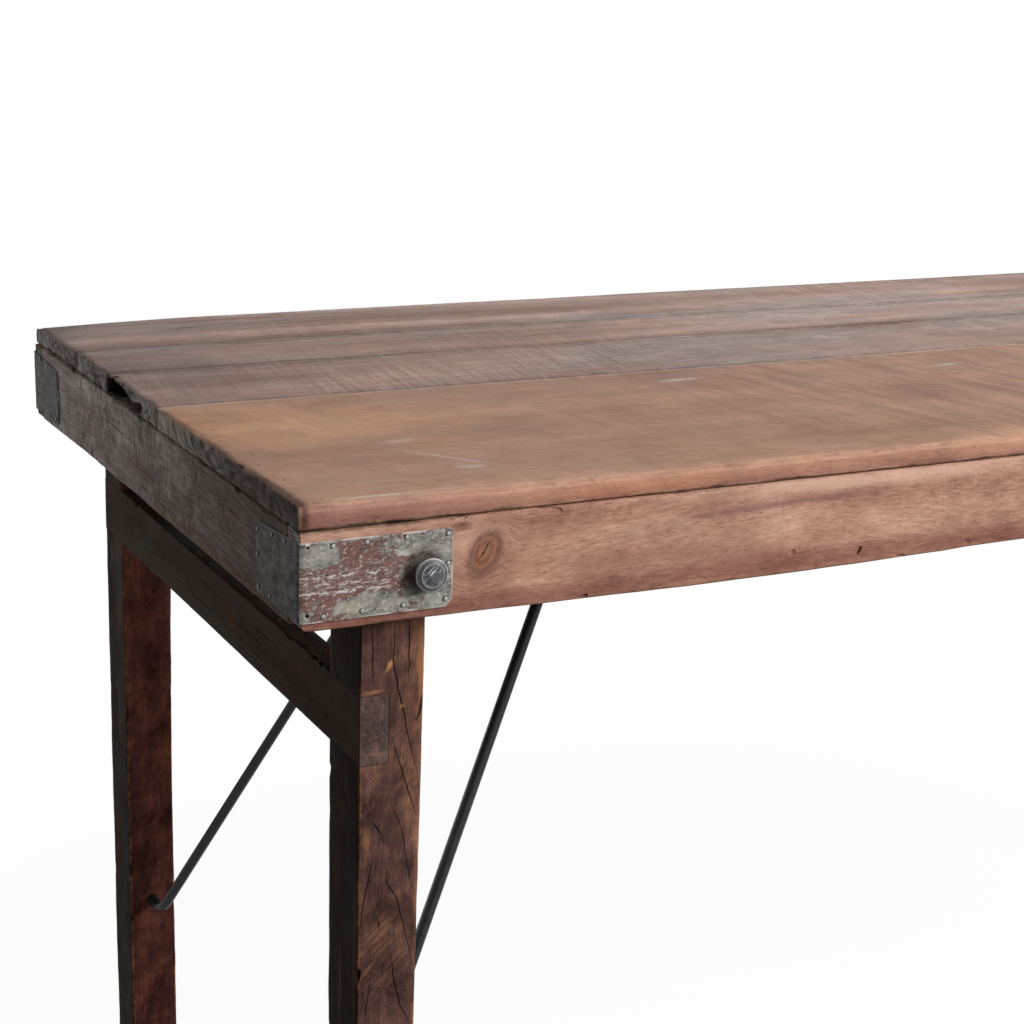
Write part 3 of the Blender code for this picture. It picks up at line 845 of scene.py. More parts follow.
endApron = changed(
    plainWood, name="endApronWood", grain="y",
    colours=((0.085, 0.057, 0.044), (0.29, 0.225, 0.20), (0.58, 0.49, 0.46)), weights=(0.42, 0.30, 0.28),
    figure=(14, 30, 30), greyFrom=(0.40, 0.62), greyDepth=0.6,
    grey=((0.13, 0.115, 0.108), (0.52, 0.485, 0.47)), mottle=0.45, repeat="sides",
    saw={"dark": 0.75, "pale": 0.45, "pitch": 0.0032, "skew": 0.10, "darkColour": (0.050, 0.030, 0.022),
         "paleColour": (0.50, 0.43, 0.40), "patches": 14.0, "breaks": 85.0}, ior=1.05, pores=0.7,
    pore=(120, 620, 620),
    arrisColour=(0.16, 0.11, 0.085), arrisDepth=0.3, seams=((2, 1.0317, 0.0026, 0.9),),
    marks=(
        mark((-1.0985, -0.16, 0.962), (0.02, 0.26, 0.016), (0.225, 0.120, 0.062), 0.6, (60, 60, 60)),
        mark((-1.0985, 0.02, 0.985), (0.02, 0.07, 0.016), (0.20, 0.115, 0.070), 0.5, (60, 90, 60)),
        # a dark line along the top under the planks: painted shadow
        mark((-1.0985, -0.32, 1.0325), (0.02, 0.16, 0.0060), (0.010, 0.007, 0.006), 0.9, (60, 90, 90),
             ragged=0.9),
        # the near end darkened, painted shade, and the far end lightened below it, painted light
        shadeMark((-1.0985, -0.36, 1.000), (0.08, 0.46, 0.16), (0.48, 0.39, 0.35), 0.95, (30, 30, 30),
                  ragged=0.6, core=0.2),
        shadeMark((-1.0985, 0.30, 1.000), (0.08, 0.26, 0.16), (1.28, 1.28, 1.30), 0.95, (30, 30, 30),
                  ragged=0.5, core=0.2),
        mark((-1.0985, 0.1635, 0.966), (0.02, 0.004, 0.008), (0.03, 0.02, 0.016), 0.8, (90, 200, 160)),
        mark((-1.0985, -0.151, 0.957), (0.02, 0.004, 0.007), (0.03, 0.02, 0.016), 0.8, (90, 200, 160)),
    ),
)

frontLegWood = changed(
    plainWood, name="frontLegWood", grain="z",
    colours=((0.032, 0.0155, 0.0135), (0.098, 0.049, 0.041), (0.225, 0.112, 0.070)),
    hatch={"run": (460, 60, 36), "turn": -0.85, "strength": 0.46, "colour": (0.250, 0.118, 0.064)},
    streak=(3.0, 34, 34), figure=(38, 52, 52), weights=(0.16, 0.60, 0.24), rings=52.0, ringDepth=0.04,
    greyFrom=(0.60, 0.80), greyDepth=0.4, grey=((0.05, 0.04, 0.035), (0.11, 0.09, 0.08)), mottle=0.46,
    pores=0.6, poreColour=(0.018, 0.010, 0.008),
    saw={"dark": 0.12, "pale": 0.05, "paleColour": (0.16, 0.09, 0.06), "relief": 0.2}, scratches=0.10,
    scratchColour=(0.30, 0.15, 0.08), endColours=((0.03, 0.02, 0.016), (0.10, 0.07, 0.055)),
    arrisReach=0.0026, arrisColour=(0.34, 0.155, 0.072), arrisDepth=0.55, dirt=(0.006, 0.004, 0.003),
    roughness=(0.40, 0.62), ior=1.04, endArcs=(22, 22, 3), relief=0.0007,
    # both side faces darkened to about a sixth: painted shade
    tints=((0, -1, (0.15, 0.165, 0.16)), (0, 1, (0.15, 0.165, 0.16)), (1, 1, (0.85, 0.60, 0.60))),
    repeat="corners",
    marks=(
        mark((-1.0217, -0.3239, 0.9205), (0.0028, 0.01, 0.0075), (0.50, 0.235, 0.095), 0.8, (300, 90, 200),
             turn=(0, 0.5, 0)),
        mark((-1.0119, -0.3239, 0.8884), (0.0022, 0.01, 0.0026), (0.48, 0.225, 0.090), 0.8, (300, 90, 300)),
        mark((-1.0314, -0.3239, 0.8500), (0.0100, 0.01, 0.0018), (0.40, 0.185, 0.085), 0.7, (200, 90, 300)),
        mark((-1.0330, -0.3239, 0.9020), (0.0110, 0.01, 0.0022), (0.36, 0.165, 0.075), 0.7, (200, 90, 300)),
        mark((-1.0380, -0.3239, 0.7890), (0.0042, 0.01, 0.0150), (0.30, 0.138, 0.066), 0.5, (260, 90, 120)),
        mark((-1.0000, -0.3239, 0.9200), (0.0030, 0.01, 0.0110), (0.32, 0.145, 0.064), 0.6, (260, 90, 160)),
        mark((-1.0440, -0.2900, 0.6600), (0.01, 0.0050, 0.0450), (0.085, 0.062, 0.050), 0.6, (90, 200, 60)),
        mark((-1.0440, -0.3180, 0.7000), (0.01, 0.0050, 0.0900), (0.070, 0.034, 0.020), 0.6, (90, 200, 50)),
        mark((-1.0440, -0.3000, 0.8250), (0.01, 0.0060, 0.0100), (0.060, 0.046, 0.038), 0.5,
             (90, 200, 120)),
    ),
)
# the back legs' redder inner faces look the other way
backLegWood = changed(
    frontLegWood, name="backLegWood", hatch=dict(frontLegWood["hatch"], strength=0.2),
    # both side faces darkened to about a sixth: painted shade
    tints=((0, -1, (0.15, 0.165, 0.16)), (0, 1, (0.15, 0.165, 0.16)), (1, -1, (0.66, 0.47, 0.46))),
    marks=(
        *frontLegWood["marks"],
        # the upper part of the inner face lightened: painted light against the shade under the top
        shadeMark((-1.021, -0.2669, 0.98), (0.2, 0.05, 0.45), (2.7, 2.75, 2.6), 1.0, (30, 30, 20),
                  ragged=0.3, core=0.2),
        mark((-1.0440, -0.3080, 0.9350), (0.01, 0.0080, 0.0220), (0.130, 0.115, 0.105), 0.6, (90, 260, 60)),
        mark((-1.0440, -0.3040, 0.8250), (0.01, 0.0060, 0.0180), (0.130, 0.115, 0.105), 0.55,
             (90, 260, 60)),
        mark((-1.0440, -0.2980, 0.6900), (0.01, 0.0040, 0.0080), (0.150, 0.130, 0.120), 0.5,
             (90, 260, 120)),
    ),
)

railWood = changed(
    plainWood, name="railWood", grain="y",
    colours=((0.018, 0.010, 0.007), (0.042, 0.025, 0.018), (0.080, 0.048, 0.033)), figure=(16, 30, 30),
    greyFrom=(0.48, 0.66), greyDepth=0.6, grey=((0.032, 0.030, 0.026), (0.085, 0.080, 0.070)), mottle=0.38,
    repeat="sides", marks=(
        mark((-1.044, -0.05, 0.872), (0.03, 0.035, 0.016), (0.085, 0.036, 0.016), 0.6, (60, 60, 90)),
        mark((-1.044, 0.16, 0.885), (0.03, 0.05, 0.014), (0.075, 0.034, 0.018), 0.5, (60, 60, 90)),
        mark((-1.031, -0.3239, 0.8548), (0.009, 0.004, 0.0014), (0.25, 0.115, 0.056), 0.65, (200, 90, 300)),
        mark((-1.0238, -0.3239, 0.874), (0.0032, 0.004, 0.018), (0.048, 0.045, 0.041), 0.7, (200, 90, 120)),
        mark((-1.044, -0.20, 0.880), (0.03, 0.06, 0.010), (0.070, 0.034, 0.020), 0.5, (60, 60, 90)),
    ),
    pores=0.5, poreColour=(0.012, 0.008, 0.006),
    saw={"dark": 0.2, "pale": 0.1, "paleColour": (0.12, 0.095, 0.08), "darkColour": (0.02, 0.014, 0.011)},
    scratches=0.12, scratchColour=(0.16, 0.12, 0.10),
    endColours=((0.056, 0.036, 0.032), (0.160, 0.099, 0.085)), endTorn=(150, 60, 70), endTurn=(0, 0.3, 0),
    endRings=0.0, arrisColour=(0.10, 0.062, 0.045), arrisReach=0.0018, arrisDepth=0.3,
    dirt=(0.006, 0.004, 0.003), ior=1.04,
)

battenWood = changed(
    plainWood, name="battenWood", grain="y",
    colours=((0.10, 0.062, 0.042), (0.205, 0.135, 0.092), (0.30, 0.21, 0.15)),
    saw={"dark": 0.4, "pale": 0.3},
)


# Steel and iron

def oxideCover(look, place, mirrored):
    # what is left of a coat of red oxide, thickest between the table's corner and the bolt
    fromCoat = ellipsoid(mirrored, look["oxideAt"], look["oxideReach"])[1]
    flake = streaks(place, (52, 52, 80), 8.0, 0.80)
    crumb = flutter(place, 380.0, 3.0, 0.65, 0.22)
    flake = plus(flake, crumb)
    cover = plus(flake, times(ease(fromCoat, 1.5, 0.3), 0.18))
    for at, reach in look["bare"]:
        fromBare = ellipsoid(mirrored, at, reach)[1]
        cover = minus(cover, times(ease(fromBare, 1.3, 0.5), 0.19))
    return ease(cover, 0.565, 0.605)


def paleBand(look, place, level):
    # a band of pale flaking scratches along the middle, between two ridges
    strayed = vector("ADD", place, drift(place, 60.0, 3.0, (0, 0, 0.010)))
    band = streaks(strayed, (34, 34, 560), 5.0, 0.72)
    fromMiddle = calc("ABSOLUTE", minus(level, look["bandAt"]))
    inBand = ease(fromMiddle, look["bandHalf"], look["bandHalf"] * 0.3)
    pale = times(times(inBand, ease(band, 0.475, 0.60)), look["bandDepth"])
    crumbled = streaks(place, (170, 170, 380), 4.0, 0.7)
    pale = times(pale, ease(crumbled, 0.42, 0.56))
    wobble = flutter(place, 95.0, 5.0, 0.7, 0.009)
    for ridgeAt in look["ridges"]:
        fromRidge = calc("ABSOLUTE", minus(plus(level, wobble), ridgeAt))
        ridge = times(ease(fromRidge, 0.0013, 0.0002), ease(crumbled, 0.43, 0.56))
        pale = calc("MAXIMUM", pale, times(ridge, 0.85))
    return pale


def brightRim(place):
    # the rubbed rim of the sheet, bright in places
    fromEdge = addNode("Attribute", attribute_name="fromRim").outputs["Fac"]
    nibble = times(cloud(place, 300.0, 3.0, 0.6), 0.0009)
    bright = ease(plus(fromEdge, nibble), 0.0016, 0.0007)
    return times(bright, ease(cloud(place, 34.0, 3.0, 0.6), 0.44, 0.58))


def plateFinish(look):
    material, shader, place, facing = startFinish(look["name"])
    faces = addNode("SeparateXYZ", {0: facing}).outputs
    parts = addNode("SeparateXYZ", {0: place}).outputs
    endWing = squareOn(faces[0], 0.6, 0.8)
    frontWing = minus(1.0, endWing)
    mirrored = vector("ABSOLUTE", place, (0, 0, 0))
    rolled = streaks(place, (60, 60, 95), 8.0, 0.78)
    colour = twoTone(rolled, 0.34, 0.66, look["steel"])
    olive = ease(cloud(place, 46.0, 4.0, 0.6), 0.55, 0.68)
    colour = blend(times(olive, 0.4), colour, look["olive"])
    shown = showPlace(place, "corners")
    for spot in look["scuffs"]:
        colour = paintMark(shown, colour, spot)
    oxide = times(oxideCover(look, place, mirrored), frontWing)
    oxideTone = twoTone(streaks(place, (150, 150, 330), 5.0, 0.75), 0.30, 0.68, look["oxide"])
    colour = blend(times(oxide, 0.88), colour, oxideTone)

    # pale flakes away from the bolt, and close round it rust with the bolt head's painted shadow
    away = lengthOf(vector("SUBTRACT", mirrored, look["boltAt"]))
    pale = times(paleBand(look, place, parts[2]), ease(away, 0.020, 0.034))
    pale = times(pale, frontWing)
    colour = blend(pale, colour, look["pale"])
    flecks = ease(streaks(place, (260, 260, 420), 4.0, 0.7), 0.525, 0.67)
    flecks = times(flecks, minus(0.66, times(endWing, 0.5)))
    colour = blend(flecks, colour, look["pale"])
    rustAndShadow = ease(away, 0.0185, 0.0115)
    colour = blend(times(rustAndShadow, 0.75), colour, look["rustAndShadow"])
    endTone = twoTone(rolled, 0.38, 0.62, look["endSteel"])
    colour = blend(endWing, colour, endTone)
    bright = times(brightRim(place), minus(0.8, times(endWing, 0.65)))
    colour = blend(bright, colour, look["bright"])

    # what stands up from the sheet, and a coat that dulls it
    height = plus(times(oxide, 0.5), times(pale, 0.8))
    height = plus(height, times(rolled, 0.4))
    bump = addNode("Bump", {"Height": height, "Distance": 0.0004, "Strength": 0.8}).outputs[0]
    dull = mapped(oxide, *look["roughness"])
    setShader(shader, {"Base Color": colour, "Roughness": dull, "Normal": bump,
                       "Metallic": look["metallic"], "IOR": look["ior"]})
    return material


plateSteel = {
    "name": "plateSteel", "steel": ((0.064, 0.063, 0.057), (0.375, 0.355, 0.322)),
    "olive": (0.31, 0.29, 0.22), "oxide": ((0.058, 0.024, 0.020), (0.235, 0.112, 0.093)),
    "pale": (0.64, 0.59, 0.56), "rustAndShadow": (0.045, 0.026, 0.018), "bright": (0.66, 0.62, 0.58),
    "endSteel": ((0.030, 0.027, 0.025), (0.205, 0.186, 0.178)),
    "bare": (((1.051, 0.35, 0.9765), (0.022, 0.05, 0.0095)), ((1.084, 0.35, 1.0135), (0.016, 0.05, 0.008))),
    "oxideAt": (1.062, 0.35, 0.9945), "oxideReach": (0.046, 0.05, 0.026), "boltAt": (1.009, 0.35, 0.9957),
    "bandAt": 0.9945, "bandHalf": 0.0100, "bandDepth": 0.85, "ridges": (0.9992, 0.9886),
    "roughness": (0.42, 0.72), "metallic": 0.0, "ior": 1.05,
    "scuffs": (
        mark((-1.0270, -0.35, 1.0075), (0.009, 0.01, 0.006), (0.62, 0.61, 0.60), 0.8, (160, 90, 200)),
        mark((-1.0600, -0.35, 0.9760), (0.016, 0.02, 0.008), (0.37, 0.325, 0.245), 0.7, (160, 90, 200),
             core=0.5),
    ),
}


def metalFinish(look):
    material, shader, place, _ = startFinish(look["name"])
    cast = cloud(place, look["scale"], 6.0, 0.65)
    colour = twoTone(cast, 0.3, 0.7, look["colours"])
    spot = ease(cloud(place, look["scale"] * 3.1, 3.0, 0.6), 0.60, 0.72)
    colour = blend(times(spot, look["spots"]), colour, look["spotColour"])
    # edges and raised rings lightened: rubbed metal and a painted highlight
    pointed = addNode("NewGeometry").outputs["Pointiness"]
    rubbedAndHighlit = ease(pointed, *look["rubAndHighlightFrom"])
    colour = blend(times(rubbedAndHighlit, look["rubAndHighlight"]), colour, look["rubAndHighlightColour"])
    lines = streaks(place, look["scratchRun"], 4.0, 0.7, (0, 0.75, 0))
    nick = times(ease(lines, *look["scratchFrom"]), look["scratches"])
    if "scratchAt" in look:
        off = vector("SUBTRACT", vector("ABSOLUTE", place, (0, 0, 0)), look["scratchAt"])
        off = lengthOf(off)
        nick = times(nick, ease(off, look["scratchReach"], look["scratchReach"] * 0.6))
    colour = blend(nick, colour, look["rubAndHighlightColour"])
    if "grimeAndShade" in look:
        # a dark ring round the foot of each nail's dome: grime and painted shade
        crown = addNode("Attribute", attribute_name="crown").outputs["Fac"]
        colour = blend(ease(crown, 0.82, 0.58), colour, look["grimeAndShade"])
    if "endFrom" in look:
        reach = calc("ABSOLUTE", addNode("SeparateXYZ", {0: place}).outputs[0])
        onEnd = ease(reach, look["endFrom"], look["endFrom"] + 0.004)
        colour = blend(onEnd, colour, look["endShade"], "MULTIPLY")
    bump = addNode("Bump", {"Height": cast, "Distance": look["relief"], "Strength": 0.6}).outputs[0]
    dull = mapped(cast, *look["roughness"], 0.3, 0.7)
    setShader(shader, {"Base Color": colour, "Roughness": dull, "Normal": bump,
                       "Metallic": look["metallic"], "IOR": look["ior"]})
    return material


boltSteel = {
    "name": "boltSteel", "scale": 240.0, "colours": ((0.022, 0.023, 0.025), (0.102, 0.105, 0.112)),
    # the bolt's pale rim and ring: rubbed metal and a painted highlight
    "spots": 0.25, "spotColour": (0.26, 0.26, 0.25), "rubAndHighlightFrom": (0.515, 0.565), "rubAndHighlight": 0.6,
    "rubAndHighlightColour": (0.78, 0.78, 0.79), "scratches": 0.85, "scratchRun": (80, 80, 1500),
    "scratchFrom": (0.58, 0.63), "scratchAt": (1.0068, 0.3612, 0.9947), "scratchReach": 0.0105,
    "relief": 0.0003, "roughness": (0.32, 0.48), "metallic": 0.0, "ior": 1.36,
}
nailSteel = {
    "name": "nailSteel", "scale": 900.0, "colours": ((0.17, 0.166, 0.16), (0.44, 0.43, 0.41)), "spots": 0.3,
    "spotColour": (0.16, 0.11, 0.09), "rubAndHighlightFrom": (0.5, 0.6), "rubAndHighlight": 0.4, "rubAndHighlightColour": (0.60, 0.59, 0.57),
    "scratches": 0.2, "scratchRun": (900, 900, 2000), "scratchFrom": (0.56, 0.66), "relief": 0.0002,
    "roughness": (0.28, 0.5), "metallic": 0.2, "ior": 1.15, "grimeAndShade": (0.022, 0.018, 0.015),
    "endFrom": 1.090, "endShade": (0.36, 0.35, 0.34),
}
blackIron = {
    "name": "blackIron", "scale": 190.0, "colours": ((0.006, 0.006, 0.007), (0.016, 0.017, 0.019)),
    "spots": 0.25, "spotColour": (0.035, 0.032, 0.030), "rubAndHighlightFrom": (0.55, 0.66), "rubAndHighlight": 0.3,
    "rubAndHighlightColour": (0.08, 0.08, 0.08), "scratches": 0.15, "scratchRun": (300, 300, 40),
    "scratchFrom": (0.56, 0.66), "relief": 0.0002, "roughness": (0.30, 0.42), "metallic": 0.0, "ior": 1.33,
}
darkSteel = {
    "name": "darkSteel", "scale": 260.0, "colours": ((0.06, 0.058, 0.056), (0.14, 0.135, 0.13)),
    "spots": 0.5, "spotColour": (0.11, 0.06, 0.035), "rubAndHighlightFrom": (0.53, 0.62), "rubAndHighlight": 0.5,
    "rubAndHighlightColour": (0.30, 0.29, 0.28), "scratches": 0.3, "scratchRun": (300, 300, 900),
    "scratchFrom": (0.56, 0.66), "relief": 0.0003, "roughness": (0.38, 0.6), "metallic": 0.5, "ior": 1.4,
}

finishes = {}
for look in (honeyPlank, greyPlank, frontApron, endApron, frontLegWood, backLegWood, railWood, battenWood):
    finishes[look["name"]] = woodFinish(look)
for look in (boltSteel, nailSteel, blackIron, darkSteel):
    finishes[look["name"]] = metalFinish(look)
finishes["plateSteel"] = plateFinish(plateSteel)
print("finishes mixed:", len(finishes))


# Plank top

plankShape = {
    "cell": (0.0075, 0.024, 0.009), "loops": (0.006,), "arris": 0.0009, "wearReach": 0.007, "wear": 0.0020,
    "sway": 0.0009, "cornerDroop": 0.0038, "droopReach": (0.16, 0.16), "topRound": 0.0052,
    "underRound": 0.0026, "endRound": 0.0032, "endChips": 6, "endChecks": 3, "nailFromEnd": 0.016,
    "nailFromSide": 0.022, "nailRadius": (0.0010, 0.0016), "nailDrill": 0.007,
    "endCheckWidth": (0.0006, 0.0014), "endCheckDepth": 0.010, "topCheckWidth": 0.0007,
    "topCheckDepth": 0.004, "topCheckReach": (0.03, 0.09), "hollowGrit": 0.5,
}
planks = {
    "front_plank": "honeyPlank",
    "middle_plank": "greyPlank",
    "inner_back_plank": "greyPlank",
    "back_plank": "greyPlank",
}
# the nails seen at the left end of the front plank: (from the end, y)
frontNailDots = (
    (0.016, -0.126), (0.011, -0.161), (0.019, -0.2065), (0.013, -0.238), (0.015, -0.283), (0.021, -0.338),
)
middlePlankBites = (  # which end, where in it, and how far they reach
    ("left", 0.058, 1.0355, (0.026, 0.053, 0.0105)),
    ("left", 0.088, 1.0395, (0.020, 0.013, 0.0085)),
    ("left", 0.020, 1.0360, (0.008, 0.024, 0.0060)),
    ("right", -0.010, 1.0360, (0.008, 0.020, 0.0060)),
)


def droopCorner(board, low, high):
    # the far left corner of the top is worn thin
    alongReach, acrossReach = plankShape["droopReach"]
    for vertex in board.data.vertices:
        along = max(0.0, 1 - (vertex.co.x - low.x) / alongReach)
        across = max(0.0, 1 - (high.y - vertex.co.y) / acrossReach)
        share = (vertex.co.z - low.z) / (high.z - low.z)
        vertex.co.z -= plankShape["cornerDroop"] * along ** 1.5 * across * share


def plankNailHoles(node, low, high):
    dots = []
    for sign in sides.values():
        inset = plankShape["nailFromSide"]
        lines = (low.y + inset, (low.y + high.y) / 2 + chance.uniform(-0.01, 0.01), high.y - inset)
        spots = [(plankShape["nailFromEnd"] + chance.uniform(-0.004, 0.004), y) for y in lines]
        if node == "front_plank":
            spots = frontNailDots
        for fromEnd, y in spots:
            x = sign * (high.x - fromEnd)
            radius = chance.uniform(*plankShape["nailRadius"])
            dots.append(addRod("nailHole", (x, y, high.z), (0, 0, 1), radius, plankShape["nailDrill"], 10))
    return dots


def plankEndDamage(node, low, high):
    # chips along the end arrises, and the broken hollow in the left end of the middle plank
    bites = []
    for sign in sides.values():
        x = sign * high.x
        for _ in range(plankShape["endChips"]):
            y = chance.uniform(low.y + 0.012, high.y - 0.012)
            atTop = chance.random() < 0.35
            reach = anyReach((0.002, 0.004), (0.004, 0.013), (0.0015, 0.0035))
            bites.append(addDent((x, y, high.z if atTop else low.z), reach))
    if node == "middle_plank":
        for side, y, z, reach in middlePlankBites:
            bites.append(addDent((sides[side] * high.x, y, z), reach, plankShape["hollowGrit"]))
    return bites


def plankSplits(low, high):
    # checks that run in from the ends, on the end faces and along the top
    splits = []
    for sign in sides.values():
        x = sign * high.x
        for _ in range(plankShape["endChecks"]):
            y = chance.uniform(low.y + 0.015, high.y - 0.015)
            start = (y, low.z + 0.001)
            end = (y + chance.uniform(-0.004, 0.004), high.z - chance.uniform(0.001, 0.008))
            width = chance.uniform(*plankShape["endCheckWidth"])
            splits.append(addSplit((start, end), 0, x, width, plankShape["endCheckDepth"]))
        y = chance.uniform(low.y + 0.02, high.y - 0.02)
        reach = chance.uniform(*plankShape["topCheckReach"])
        line = ((x - sign * 0.0005, y), (x - sign * reach, y + chance.uniform(-0.004, 0.004)))
        splits.append(addSplit(line, 2, high.z, plankShape["topCheckWidth"], plankShape["topCheckDepth"]))
    return splits


for node, finish in planks.items():
    rounds = [(0, atRight, 2, True, plankShape["endRound"]) for atRight in (False, True)]
    if node in ("front_plank", "back_plank"):
        outer = node == "back_plank"
        rounds.insert(0, (1, outer, 2, True, plankShape["topRound"]))
        rounds.insert(1, (1, outer, 2, False, plankShape["underRound"]))
    board, low, high = wornBoard(node + "_wood", node, dict(plankShape, rounds=rounds))
    if node == "back_plank":
        droopCorner(board, low, high)
    carve(board, plankEndDamage(node, low, high))
    carve(board, plankSplits(low, high))
    carve(board, plankNailHoles(node, low, high))
    finishBoard(board, low, high, node, "table_top", finishes[finish])
print("planks laid")


# Aprons

apronShape = {
    "cell": (0.0075, 0.011, 0.012), "loops": (0.002, 0.0045, 0.008), "arris": 0.0011, "wearReach": 0.006,
    "wear": 0.0018, "sway": 0.0008, "endRounds": {"front": 0.0085, "back": 0.0045},
    "lowRound": 0.0026, "topRound": 0.0036, "belly": 0.0030, "bellyAt": 0.72, "bellyHalf": 0.30,
    "proud": 0.0032, "proudFrom": (-1.04, 0.06), "proudOver": (0.045, 0.27), "chipDepth": 0.0022,
    "bruiseDepth": 0.0011, "boreLength": 0.06, "holeDepth": 0.009, "knotCrackWidth": 0.0012,
    "knotCrackDepth": 0.003, "knotCrack": ((0.9690, 0.9965), (0.9640, 1.0030), (0.9590, 1.0115)),
}
frontChips = (  # x, whether on the top arris, how far along and up
    (-0.920, True, 0.020, 0.0026), (-0.9805, True, 0.007, 0.0040), (-0.885, False, 0.007, 0.0026),
    (-0.80, True, 0.012, 0.0018), (-0.66, True, 0.030, 0.0016), (-0.60, False, 0.006, 0.0016),
    (-0.45, True, 0.018, 0.0020), (-0.2, False, 0.010, 0.0024), (0.1, True, 0.025, 0.0018),
    (0.42, False, 0.008, 0.0022), (0.7, True, 0.016, 0.0026), (0.93, False, 0.012, 0.0022),
)
bruises = ((-0.703, 0.9743), (-0.641, 0.9699), (-0.533, 0.9650), (-0.31, 0.983), (0.05, 0.975), (0.4, 0.99))
nailHoleRadius = 0.0013
plateNails = {  # from the corner along each wing, and height
    "front": ((0.0243, 1.0205), (0.0487, 1.0207), (0.0778, 1.0209), (0.1087, 1.0205), (0.1090, 0.9992),
              (0.0175, 0.9720), (0.0456, 0.9726), (0.0758, 0.9730), (0.1075, 0.9738)),
    "end": ((0.0780, 1.0140), (0.0498, 1.0172), (0.0250, 1.0196), (0.0785, 0.9962), (0.0765, 0.9726),
            (0.0541, 0.9722)),
    "frontHoles": ((0.0067, 1.0210), (0.0062, 0.9738)),
    "endHoles": ((0.0288, 0.9712),),
}


def wingPlace(row, side, wing, along, height, proud=0.0):
    # a point on a corner plate's outer face, and the way out of it
    sign, way = sides[side], rows[row]
    corner = Vector((sign * cadBox[1].x, way * halfDepth, height))
    if wing == "front":
        return corner + Vector((-sign * along, way * proud, 0)), Vector((0, way, 0))
    return corner + Vector((sign * proud, -way * along, 0)), Vector((sign, 0, 0))


def plateHoleDrills(row, side, wing, depth):
    drills = []
    for along, height in plateNails[wing + "Holes"]:
        place, out = wingPlace(row, side, wing, along, height)
        drills.append(addRod("drill", place, out, nailHoleRadius, 2 * depth, 12))
    return drills


def pivotMiddle(row, side):
    low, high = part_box(row + "_" + side + "_pivot_bolt")
    return (low + high) / 2


def boreDrill(row, side, y, length):
    pivot = pivotMiddle(row, side)
    return addRod("bore", (pivot.x, y, pivot.z), (0, 1, 0), boreRadius, length, 24)


crossChecks = {"count": 5, "width": 0.0007, "depth": 0.004}


def boardSplits(low, high, face, checks):
    # drying cracks along a board that lies across the table
    splits = []
    for _ in range(crossChecks["count"]):
        y = chance.uniform(low.y + checks["ends"][0], high.y - checks["ends"][1])
        z = chance.uniform(low.z + checks["edges"][0], high.z - checks["edges"][1])
        line = ((y, z), (y + chance.uniform(*checks["length"]), z + chance.uniform(-0.003, 0.003)))
        splits.append(addSplit(line, 0, face, crossChecks["width"], crossChecks["depth"]))
    return splits


def standProud(piece):
    # the far left corner of the frame bulges past the planks' ends
    (fromX, fromY), (overX, overY) = apronShape["proudFrom"], apronShape["proudOver"]
    for vertex in piece.data.vertices:
        along = min(max((fromX - vertex.co.x) / overX, 0.0), 1.0)
        across = min(max((vertex.co.y - fromY) / overY, 0.0), 1.0)
        vertex.co.x -= apronShape["proud"] * along * across * across


def hangBelly(board, low, high, x):
    # the lower edge was never sawn quite straight
    for vertex in board.data.vertices:
        off = (vertex.co.x - x) / apronShape["bellyHalf"]
        if abs(off) < 1:
            share = (high.z - vertex.co.z) / (high.z - low.z)
            vertex.co.z -= apronShape["belly"] * math.cos(off * math.pi / 2) ** 2 * share


for row, way in rows.items():
    node = row + "_apron"
    endRound = apronShape["endRounds"][row]
    shape = dict(apronShape, rounds=(
        (0, False, 2, False, endRound), (0, True, 2, False, endRound),
        (1, way > 0, 2, False, apronShape["lowRound"]), (1, way > 0, 2, True, apronShape["topRound"]),
    ))
    board, low, high = wornBoard(node + "_wood", node, shape)
    hangBelly(board, low, high, way * apronShape["bellyAt"])
    standProud(board)
    face = low.y if way < 0 else high.y
    cutters = []
    for x, atTop, length, tall in frontChips:
        reach = (length, apronShape["chipDepth"], tall)
        cutters.append(addDent((-way * x, face, high.z if atTop else low.z), reach))
    for x, z in bruises:
        reach = (chance.uniform(0.003, 0.005), apronShape["bruiseDepth"], chance.uniform(0.002, 0.004))
        cutters.append(addDent((-way * x, face, z), reach))
    for side in sides:
        cutters.append(boreDrill(row, side, (low.y + high.y) / 2, apronShape["boreLength"]))
        cutters += plateHoleDrills(row, side, "front", apronShape["holeDepth"])
    carve(board, cutters)
    knotCrack = [(way * x, z) for x, z in apronShape["knotCrack"]]
    crack = addSplit(knotCrack, 1, face, apronShape["knotCrackWidth"], apronShape["knotCrackDepth"])
    carve(board, [crack])
    finishBoard(board, low, high, node, "table_top", finishes["frontApronWood"])

endApronShape = dict(
    apronShape, cell=(0.011, 0.0075, 0.012), wear=0.0011, topRound=0.0018, chips=9,
    checks={"ends": (0.05, 0.15), "edges": (0.01, 0.008), "length": (0.04, 0.12)},
)
for side, sign in sides.items():
    node = side + "_end_apron"
    rounds = [(0, sign > 0, 2, False, endApronShape["lowRound"])]
    rounds.append((0, sign > 0, 2, True, endApronShape["topRound"]))
    board, low, high = wornBoard(node + "_wood", node, dict(endApronShape, rounds=rounds))
    standProud(board)
    face = high.x if sign > 0 else low.x
    cutters = []
    for index in range(endApronShape["chips"]):
        y = low.y + (high.y - low.y) * (index + chance.uniform(0.2, 0.8)) / endApronShape["chips"]
        reach = (0.0035, chance.uniform(0.006, 0.02), chance.uniform(0.0018, 0.0045))
        if index % 3 == 0:
            reach = (0.0022, chance.uniform(0.004, 0.010), chance.uniform(0.0010, 0.0018))
        cutters.append(addDent((face, y, high.z if index % 3 else low.z), reach))
    for row in rows:
        cutters += plateHoleDrills(row, side, "end", endApronShape["holeDepth"])
    carve(board, cutters)
    carve(board, boardSplits(low, high, face, endApronShape["checks"]))
    finishBoard(board, low, high, node, "table_top", finishes["endApronWood"])
print("aprons fitted")


# Battens under the planks

